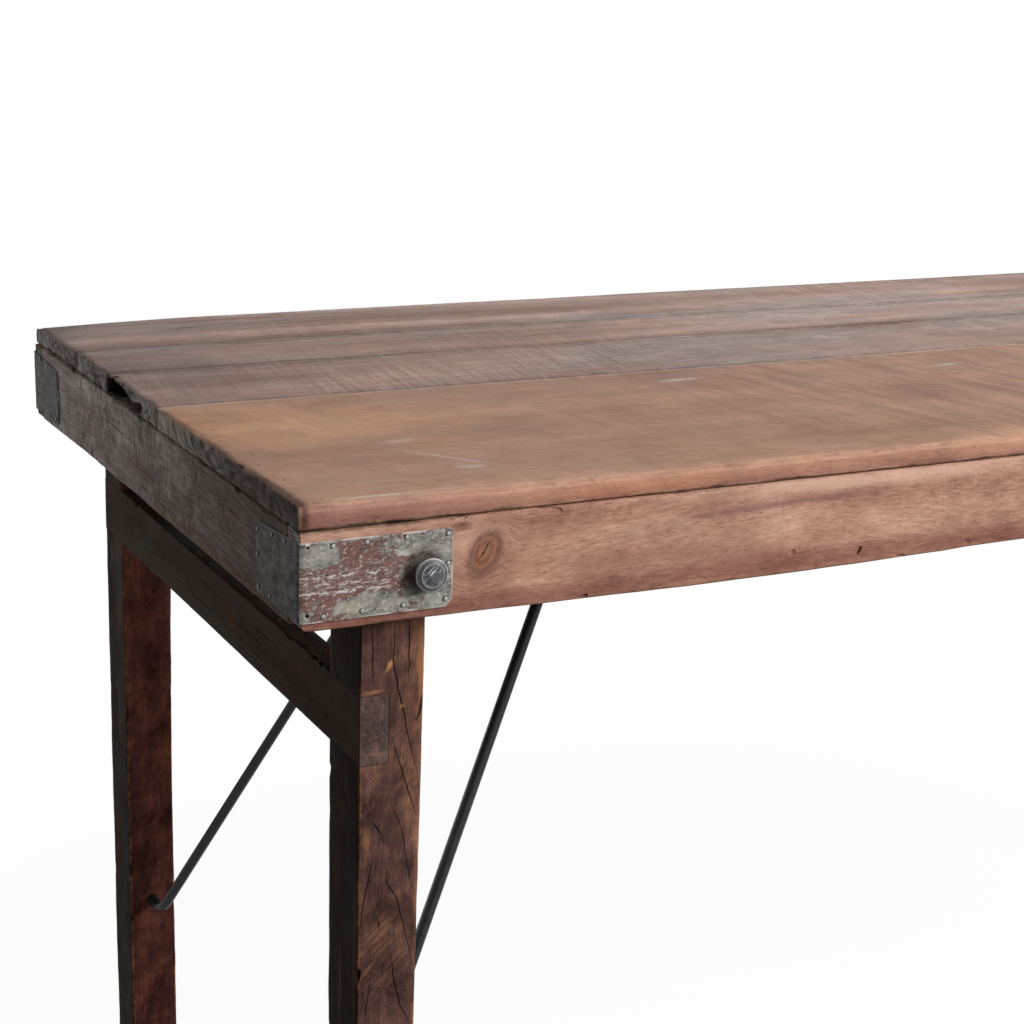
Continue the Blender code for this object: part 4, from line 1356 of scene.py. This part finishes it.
battenShape = {
    "cell": (0.015, 0.010, 0.010), "loops": (0.004,), "arris": 0.0012, "wearReach": 0.005, "wear": 0.0016,
    "sway": 0.0006,
}
for node in ("left_batten", "centre_batten", "right_batten"):
    board, low, high = wornBoard(node + "_wood", node, battenShape)
    finishBoard(board, low, high, node, "table_top", finishes["battenWood"])
print("battens fitted")


# Leg frames

legShape = {
    "cell": (0.0115, 0.0115, 0.0080), "loops": (0.005,), "arris": 0.0014, "wearReach": 0.006,
    "wear": 0.0013, "sway": 0.0008, "footRound": 0.004, "headSwell": 0.0034, "swellFrom": 0.60,
    "swellTo": 0.96, "boreLength": 0.09, "openSide": 0.01, "railPassage": 0.06,
    "showCrack": (0.0006, 0.0010), "showDepth": 0.006, "innerCrack": (0.0003, 0.0006),
    "sideCrack": (0.0006, 0.0010), "sideDepth": 0.005,
}
railShape = {
    "cell": (0.011, 0.0080, 0.013), "loops": (0.004,), "arris": 0.0004, "wearReach": 0.006, "wear": 0.0004,
    "sway": 0.0006, "chips": 7,
    "checks": {"ends": (0.06, 0.20), "edges": (0.008, 0.008), "length": (0.05, 0.14)},
}
stayHole = {"drop": 0.585, "depth": 0.020, "radius": 0.0054}
# cracks in the show face of a leg: (mm in from its outer edge, mm up from the floor)
legCracks = (
    ((8, 960), (10, 904)),
    ((26, 960), (25, 924), (29, 901), (34, 881), (38, 862), (45, 836)),
    ((37, 960), (37, 907)),
    ((24, 868), (30, 848), (38, 823), (45, 802)),
    ((23, 818), (31, 801), (35, 787), (38, 764), (45, 737)),
    ((9, 804), (20, 789)),
    ((12, 779), (9, 763), (4, 739), (1, 716)),
    ((21, 774), (22, 753), (30, 740), (36, 718), (44, 683)),
    ((15, 728), (17, 714)),
    ((27, 694), (29, 673), (35, 650), (42, 636)),
    ((10, 677), (6, 643)),
    ((14, 590), (20, 540), (26, 500), (33, 455)),
    ((32, 410), (28, 350), (19, 300)),
    ((12, 200), (15, 130), (20, 60)),
    ((36, 150), (34, 90), (35, 10)),
)


def legFaceSplits(low, high, sign, way):
    # every show face carries the cracks of the near leg, and the other faces sparser ones of their own
    splits = []
    face = low.y if way < 0 else high.y
    outer = low.x if sign < 0 else high.x
    shift = 0.0 if (sign, way) == (-1, -1) else chance.uniform(-0.10, 0.10)
    for line in legCracks:
        points = [(outer - sign * inset / 1000, min(max(rise / 1000 + shift, 0.004), high.z - 0.004))
                  for inset, rise in line]
        width = chance.uniform(*legShape["showCrack"])
        splits.append(addSplit(points, 1, face, width, legShape["showDepth"]))
    inner = high.y if way < 0 else low.y
    for _ in range(3):
        x = chance.uniform(low.x + 0.008, high.x - 0.008)
        z = chance.uniform(0.05, 0.75)
        line = ((x, z), (x + chance.uniform(-0.006, 0.006), z + chance.uniform(0.04, 0.10)))
        width = chance.uniform(*legShape["innerCrack"])
        splits.append(addSplit(line, 1, inner, width, legShape["sideDepth"]))
    for level in (low.x, high.x):
        for _ in range(4):
            y = chance.uniform(low.y + 0.010, high.y - 0.010)
            z = chance.uniform(0.05, 0.70)
            line = ((y, z), (y + chance.uniform(-0.006, 0.006), z + chance.uniform(0.05, 0.15)))
            width = chance.uniform(*legShape["sideCrack"])
            splits.append(addSplit(line, 0, level, width, legShape["sideDepth"]))
    return splits


def legCutters(row, side, low, high, sign, way):
    # the rails' housings, open at the leg's outer face, the pivot's bore and the stay's hole
    openSide = legShape["openSide"]
    cutters = []
    for rail in ("_upper_rail", "_lower_rail"):
        railLow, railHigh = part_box(side + rail)
        gap = Vector((fitGap, legShape["railPassage"], fitGap))
        railLow.x, railHigh.x = railLow.x - openSide * (sign < 0), railHigh.x + openSide * (sign > 0)
        cutters.append(addBlock("housing", railLow - gap, railHigh + gap))
    cutters.append(boreDrill(row, side, (low.y + high.y) / 2, legShape["boreLength"]))
    inner = high.y if way < 0 else low.y
    hole = ((low.x + high.x) / 2, inner, cadBox[1].z - stayHole["drop"])
    cutters.append(addRod("hole", hole, (0, 1, 0), stayHole["radius"], 2 * stayHole["depth"], 24))
    return cutters


def swellHead(board, low, high, sign):
    # the leg thickens a little upwards, on the side that faces the middle of the table
    for vertex in board.data.vertices:
        rise = (vertex.co.z - legShape["swellFrom"]) / (legShape["swellTo"] - legShape["swellFrom"])
        share = (high.x - vertex.co.x if sign > 0 else vertex.co.x - low.x) / (high.x - low.x)
        vertex.co.x -= sign * legShape["headSwell"] * min(max(rise, 0.0), 1.0) * share


def legDents(low, high):
    dents = []
    for x in (low.x, high.x):
        for y in (low.y, high.y):
            for _ in range(3):
                reach = anyReach((0.0015, 0.003), (0.0015, 0.003), (0.005, 0.016))
                dents.append(addDent((x, y, chance.uniform(0.01, 0.93)), reach))
    return dents


for row, side in corners:
    node = row + "_" + side + "_leg"
    sign, way = sides[side], rows[row]
    foot = [(axis, atHigh, 2, False, legShape["footRound"]) for axis in (0, 1) for atHigh in (False, True)]
    board, low, high = wornBoard(node + "_wood", node, dict(legShape, rounds=foot))
    swellHead(board, low, high, sign)
    for vertex in board.data.vertices:
        vertex.co.z = max(vertex.co.z, low.z)  # no foot sinks into the floor
    carve(board, legDents(low, high))
    carve(board, legFaceSplits(low, high, sign, way))
    for cutter in legCutters(row, side, low, high, sign, way):
        carve(board, [cutter])
    finishBoard(board, low, high, node, side + "_leg_frame", finishes[row + "LegWood"])

for side, sign in sides.items():
    for kind in ("_upper_rail", "_lower_rail"):
        node = side + kind
        board, low, high = wornBoard(node + "_wood", node, railShape)
        face = high.x if sign > 0 else low.x
        cutters = []
        for _ in range(railShape["chips"]):
            spot = (face, chance.uniform(low.y + 0.07, high.y - 0.07), high.z)
            cutters.append(addDent(spot, anyReach((0.0010, 0.002), (0.006, 0.02), (0.0008, 0.0016))))
        carve(board, cutters)
        carve(board, boardSplits(low, high, face, railShape["checks"]))
        finishBoard(board, low, high, node, side + "_leg_frame", finishes["railWood"])
print("leg frames joined")


# Corner plates and their nails

plateShape = {
    "gauge": 0.0012, "bend": 0.0030, "cell": 0.0022, "clip": 0.0048, "smallClip": 0.0016, "dish": 0.0005,
    "dishGrain": 0.018, "wingDrop": 0.0060, "holeDepth": 0.004, "boreLength": 0.02,
}
nailShape = {"radius": 0.0022, "height": 0.0012, "sunk": 0.0003, "jog": 0.0012, "lean": 0.12}


def bentSheet(name, node, sign, way):
    low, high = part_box(node)
    bend, halfLength = plateShape["bend"], cadBox[1].x
    frontReach = halfLength - (low.x if sign > 0 else -high.x)
    endReach = halfDepth - (low.y if way > 0 else -high.y)
    frontFlat, endFlat, turn = frontReach - bend, endReach - bend, bend * math.pi / 2
    length, height = frontFlat + turn + endFlat, high.z - low.z
    bpy.ops.object.select_all(action="DESELECT")
    across, upwards = round(length / plateShape["cell"]), round(height / plateShape["cell"])
    middle = (length / 2, height / 2, 0)
    bpy.ops.mesh.primitive_grid_add(x_subdivisions=across, y_subdivisions=upwards, size=1, location=middle)
    sheet = bpy.context.object
    sheet.name = name
    sheet.scale = (length, height, 1)
    settle(sheet)
    # clip the four free corners
    clip, small = plateShape["clip"], plateShape["smallClip"]
    for x, y, size in ((0, 0, clip), (0, height, small), (length, 0, small), (length, height, clip)):
        outwards = Vector((-1 if x == 0 else 1, -1 if y == 0 else 1, 0)).normalized()
        at = Vector((x, y, 0)) - outwards * size * math.sqrt(0.5)
        with editMode():
            bpy.ops.mesh.bisect(plane_co=at, plane_no=outwards, clear_outer=True)
    rim = sheet.data.attributes.new("fromRim", "FLOAT", "POINT")
    for vertex, item in zip(sheet.data.vertices, rim.data):
        s, up, _ = vertex.co
        item.value = min(s, length - s, up, height - up)
        if s < frontFlat:
            along, across = frontReach - s, 0.0
        elif s < frontFlat + turn:
            angle = (s - frontFlat) / bend
            along, across = bend - bend * math.sin(angle), bend - bend * math.cos(angle)
        else:
            along, across = 0.0, bend + s - frontFlat - turn
        up *= 1 - plateShape["wingDrop"] / height * max(0.0, across - bend) / endReach
        vertex.co = (sign * (halfLength - along), way * (halfDepth - across), low.z + up)
    if sign * way > 0:
        with editMode():
            bpy.ops.mesh.flip_normals()
    return sheet


def domedNail():
    # a round head, hammered a little flat
    bpy.ops.object.select_all(action="DESELECT")
    bpy.ops.mesh.primitive_uv_sphere_add(segments=12, ring_count=8, radius=nailShape["radius"])
    nail = bpy.context.object
    flatten = (1, 1, nailShape["height"] / nailShape["radius"])
    with editMode():
        bpy.ops.mesh.bisect(plane_co=(0, 0, 0), plane_no=(0, 0, 1), clear_inner=True, use_fill=True)
        bpy.ops.mesh.select_all(action="SELECT")
        bpy.ops.transform.resize(value=flatten, center_override=(0, 0, 0))
    crown = nail.data.attributes.new("crown", "FLOAT", "POINT")
    for vertex, item in zip(nail.data.vertices, crown.data):
        item.value = vertex.co.z / nailShape["height"]
    smooth(nail, 50)
    return nail


nailMaster = domedNail()
for row, side in corners:
    corner = row + "_" + side
    node = corner + "_corner_plate"
    sign, way = sides[side], rows[row]
    sheet = bentSheet(corner + "_plate_sheet", node, sign, way)
    wall = sheet.modifiers.new("gauge", "SOLIDIFY")
    wall.thickness = plateShape["gauge"]
    wall.offset = -1
    applyModifiers(sheet)
    roughen(sheet, plateShape["dish"], plateShape["dishGrain"], 0.5)
    drills = []
    for wing in ("front", "end"):
        drills += plateHoleDrills(row, side, wing, plateShape["holeDepth"])
    drills.append(boreDrill(row, side, way * halfDepth, plateShape["boreLength"]))
    carve(sheet, drills)
    standProud(sheet)
    smooth(sheet, 32)
    dress(sheet, node, "table_top", finishes["plateSteel"])
    nails = []
    for wing in ("front", "end"):
        for along, height in plateNails[wing]:
            jog = 0.0 if corner == "front_left" else nailShape["jog"]
            place, out = wingPlace(row, side, wing, along + chance.uniform(-jog, jog),
                                   height + chance.uniform(-jog, jog), -nailShape["sunk"])
            tilt = Matrix.Rotation(chance.uniform(0, 6), 3, out) @ out.to_track_quat("Z", "Y").to_matrix()
            lean = chance.uniform(-nailShape["lean"], nailShape["lean"])
            lean = Matrix.Rotation(lean, 3, Vector((0.3, 0.4, 1)).normalized())
            nails.append(copyPiece(nailMaster, lean @ tilt, place))
    nails = joinPieces(corner + "_plate_nails", nails)
    standProud(nails)
    dress(nails, None, "table_top", finishes["nailSteel"])
bpy.data.objects.remove(nailMaster)
print("plates nailed on")


# Pivot bolts, washers and nuts

boltShape = {
    "head": 0.012, "crown": 0.0113, "neck": 0.0065, "shank": 0.0050, "dome": 0.0026, "rim": 0.0018,
    "seat": 0.0058, "ring": 0.0082, "ringHigh": 0.0003, "lean": (0.0022, 0.0010), "threadFrom": 0.066,
    "pitch": 0.0015, "threadDepth": 0.0007, "facets": 48,
}
eased = {"_spacer_washer": 0.0004, "_nut_washer": 0.0004, "_pivot_nut": 0.0007}


def boltProfile(tip):
    # (radius, height over the plate) from the middle of the head to the tip of the shank
    head, top, rim, ring, high = (boltShape[key] for key in ("head", "crown", "rim", "ring", "ringHigh"))
    neck, seat, shank, pitch = (boltShape[key] for key in ("neck", "seat", "shank", "pitch"))

    def face(radius):
        return top - boltShape["dome"] * (radius / head) ** 2

    points = [(radius, face(radius)) for radius in (0.0, 0.002, 0.004, 0.006, ring - 2 * high)]
    points += [(ring - high, face(ring) + high), (ring + high, face(ring) + high)]  # a fine raised ring
    points += [(radius, face(radius)) for radius in (ring + 2 * high, 0.0102, head - 0.0010)]
    edge = face(head - 0.0010)
    points += [(head - 0.0003, edge - 0.0004), (head, edge - 0.0010), (head - 0.0002, edge - rim)]
    points += [(head - 0.0012, edge - rim - 0.0006), (neck + 0.0008, seat), (neck, seat - 0.0008)]
    points += [(neck, fitGap), (shank, fitGap)]
    height = -boltShape["threadFrom"]
    points.append((shank, height))
    while height - pitch > tip + 0.0012:
        points.append((shank - boltShape["threadDepth"], height - pitch / 2))
        points.append((shank, height - pitch))
        height -= pitch
    points += [(shank - 0.001, tip), (0.0, tip)]
    return points


def turnedPiece(name, profile, centre, axis):
    # spins a profile of (radius, height) round the axis through the centre
    axis = Vector(axis).normalized()
    outwards = axis.orthogonal().normalized()
    mesh = bpy.data.meshes.new(name)
    points = [centre + outwards * radius + axis * height for radius, height in profile]
    mesh.from_pydata(points, [(index, index + 1) for index in range(len(points) - 1)], [])
    piece = bpy.data.objects.new(name, mesh)
    bpy.context.scene.collection.objects.link(piece)
    selectOnly(piece)
    with editMode():
        bpy.ops.mesh.spin(steps=boltShape["facets"], angle=2 * math.pi, center=centre, axis=axis)
        bpy.ops.mesh.select_all(action="SELECT")
        bpy.ops.mesh.remove_doubles(threshold=0.00002)
        bpy.ops.mesh.normals_make_consistent(inside=False)
    smooth(piece, 40)
    return piece


def easedCopy(node, width):
    # the node's own shape, merged, with its edges eased
    made = frame["nodes"][node].copy()
    made.data = made.data.copy()
    made.parent = None
    for key in list(made.keys()):
        del made[key]
    bpy.context.scene.collection.objects.link(made)
    made.name = node + "_eased"
    selectOnly(made)
    with editMode():
        bpy.ops.mesh.remove_doubles(threshold=0.00002)
        bpy.ops.mesh.dissolve_limited(angle_limit=math.radians(2))
    edge = made.modifiers.new("ease", "BEVEL")
    edge.width = width
    edge.segments = 2
    edge.limit_method = "ANGLE"
    edge.angle_limit = math.radians(40)
    applyModifiers(made)
    smooth(made)
    return made


for row, side in corners:
    corner = row + "_" + side
    way = rows[row]
    boltLow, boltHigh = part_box(corner + "_pivot_bolt")
    middle = pivotMiddle(row, side)
    face = way * halfDepth
    tip = -(boltHigh.y - boltLow.y - boltShape["crown"])
    centre = Vector((middle.x, face, middle.z))
    bolt = turnedPiece(corner + "_bolt_turned", boltProfile(tip), centre, (0, way, 0))
    for vertex in bolt.data.vertices:  # the head was forged off the middle of the shank
        share = min(max(way * (vertex.co.y - face) / boltShape["seat"], 0.0), 1.0)
        vertex.co.x -= math.copysign(boltShape["lean"][0], middle.x) * share
        vertex.co.z -= boltShape["lean"][1] * share
    dress(bolt, corner + "_pivot_bolt", "table_top", finishes["boltSteel"])
    for kind, width in eased.items():
        body = frame["nodes"][corner + kind]["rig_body"]
        dress(easedCopy(corner + kind, width), corner + kind, body, finishes["darkSteel"])
print("pivots bolted")


# Iron stays

stayShape = {
    "rod": 0.005, "topHalf": 0.095, "armInset": 0.029, "bend": 0.018, "bendSteps": 14, "roundness": 6,
    "saddleEase": 0.0005,
}


def roundedPath(points, radius, steps):
    path = [points[0]]
    for before, corner, after in zip(points, points[1:], points[2:]):
        back, ahead = (before - corner).normalized(), (after - corner).normalized()
        half = back.angle(ahead) / 2
        centre = corner + (back + ahead).normalized() * radius / math.sin(half)
        start = corner + back * radius / math.tan(half) - centre
        end = corner + ahead * radius / math.tan(half) - centre
        for step in range(steps + 1):
            path.append(centre + start.normalized().slerp(end.normalized(), step / steps) * radius)
    path.append(points[-1])
    return path


for side in sides:
    fold = next(joint for joint in frame["joints"] if joint["name"] == side + "_stay_fold")
    hinge = Vector(fold["pos_m"])
    legLow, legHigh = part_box("front_" + side + "_leg")
    hole = Vector(((legLow.x + legHigh.x) / 2, 0, cadBox[1].z - stayHole["drop"]))
    footY, armY = -legHigh.y - fitGap, -legHigh.y - stayShape["armInset"]
    turns = ((hole, footY), (hole, armY), (hinge, stayShape["topHalf"]))
    half = [place + Vector((0, y, 0)) for place, y in turns]
    points = half + [point * Vector((1, -1, 1)) for point in reversed(half)]
    path = roundedPath(points, stayShape["bend"], stayShape["bendSteps"])
    rod = addTube(side + "_stay_rod", path, stayShape["rod"], stayShape["roundness"])
    smooth(rod, 50)
    dress(rod, side + "_stay", side + "_stay", finishes["blackIron"])
    for row in rows:
        node = row + "_" + side + "_stay_saddle"
        saddle = easedCopy(node, stayShape["saddleEase"])
        dress(saddle, node, "table_top", finishes["blackIron"])
print("stays hung")


# Floor, light and camera

studio = {
    "floorSize": 300.0, "floorColour": (0.96, 0.96, 0.95), "floorBounce": (0.36, 0.35, 0.34),
    "shadowStrength": 0.07, "shadowReach": (1.1, 2.4), "ambient": 0.17,
    "keyPlace": (2.6, -3.4, 3.4), "keyAim": (-0.7, -0.1, 0.9), "keySize": 2.6, "keyPower": 418.0,
    "fillPlace": (-2.2, 1.9, 0.80), "fillAim": (-1.1, 0.3, 0.85), "fillSize": 1.0, "fillPower": 8.0,
    "backPlace": (0.6, 3.4, 0.60), "backAim": (0, 0.35, 0.70), "backSize": 1.1, "backPower": 60.0,
}


def seenDirectly():
    # 1 for what the camera, a reflection or a see-through surface looks at
    path = addNode("LightPath").outputs
    total = calc("ADD", path["Is Camera Ray"], path["Is Glossy Ray"], True)
    return calc("ADD", total, path["Is Transmission Ray"], True)


bpy.ops.object.select_all(action="DESELECT")
bpy.ops.mesh.primitive_plane_add(size=studio["floorSize"], location=(0, 0, cadBox[0].z))
floor = bpy.context.object
floor.name = "studio_floor"
floorPaint = bpy.data.materials.new("studioFloor")
floorPaint.use_nodes = True
tree = floorPaint.node_tree
tree.nodes.remove(tree.nodes["Principled BSDF"])
bounce = addNode("BsdfDiffuse", {"Color": studio["floorBounce"]}).outputs[0]
shaded = addNode("BsdfDiffuse", {"Color": studio["floorColour"]}).outputs[0]
glow = addNode("Emission", {"Color": (1, 1, 1), "Strength": 1.0}).outputs[0]
spot = addNode("TexCoord").outputs["Object"]
away = lengthOf(spot)
near, far = studio["shadowReach"]
shadow = times(ease(away, far, near), studio["shadowStrength"])
shown = addNode("MixShader", {0: shadow, 1: glow, 2: shaded}).outputs[0]
paint = addNode("MixShader", {0: seenDirectly(), 1: bounce, 2: shown}).outputs[0]
tree.links.new(paint, tree.nodes["Material Output"].inputs["Surface"])
floor.data.materials.append(floorPaint)

world = bpy.data.worlds.new("studio")
world.use_nodes = True
tree = world.node_tree
lift = mapped(seenDirectly(), studio["ambient"], 1.0)
tree.links.new(lift, tree.nodes["Background"].inputs["Strength"])
tree.nodes["Background"].inputs["Color"].default_value = (1, 1, 1, 1)
bpy.context.scene.world = world


def addSoftbox(name, place, aim, size, power):
    bpy.ops.object.light_add(type="AREA", location=place)
    lamp = bpy.context.object
    lamp.name = name
    lamp.data.shape = "SQUARE"
    lamp.data.size = size
    lamp.data.energy = power
    lamp.rotation_euler = (Vector(aim) - Vector(place)).to_track_quat("-Z", "Y").to_euler()


for lamp in ("key", "fill", "back"):
    addSoftbox(lamp + "_softbox", *(studio[lamp + value] for value in ("Place", "Aim", "Size", "Power")))

cameraView = {
    "place": (-1.53912, -1.49250, 1.39078), "yaw": 0.48093, "pitch": 0.27245, "roll": 0.03230,
    "lens": 68.09,
}
yaw, pitch, roll = cameraView["yaw"], cameraView["pitch"], cameraView["roll"]
ahead = Vector((math.sin(yaw) * math.cos(pitch), math.cos(yaw) * math.cos(pitch), -math.sin(pitch)))
right = Vector((math.cos(yaw), -math.sin(yaw), 0))
up = right.cross(ahead)
cameraX = right * math.cos(roll) + up * math.sin(roll)
cameraY = up * math.cos(roll) - right * math.sin(roll)
bpy.ops.object.camera_add()
camera = bpy.context.object
camera.data.lens = cameraView["lens"]
camera.data.sensor_width = 36.0
camera.data.clip_start = 0.05
cameraTurn = Matrix((cameraX, cameraY, -ahead)).transposed().to_4x4()
camera.matrix_world = Matrix.Translation(cameraView["place"]) @ cameraTurn
bpy.context.scene.camera = camera
bpy.context.scene.view_settings.view_transform = "Standard"
print("camera and lights set")
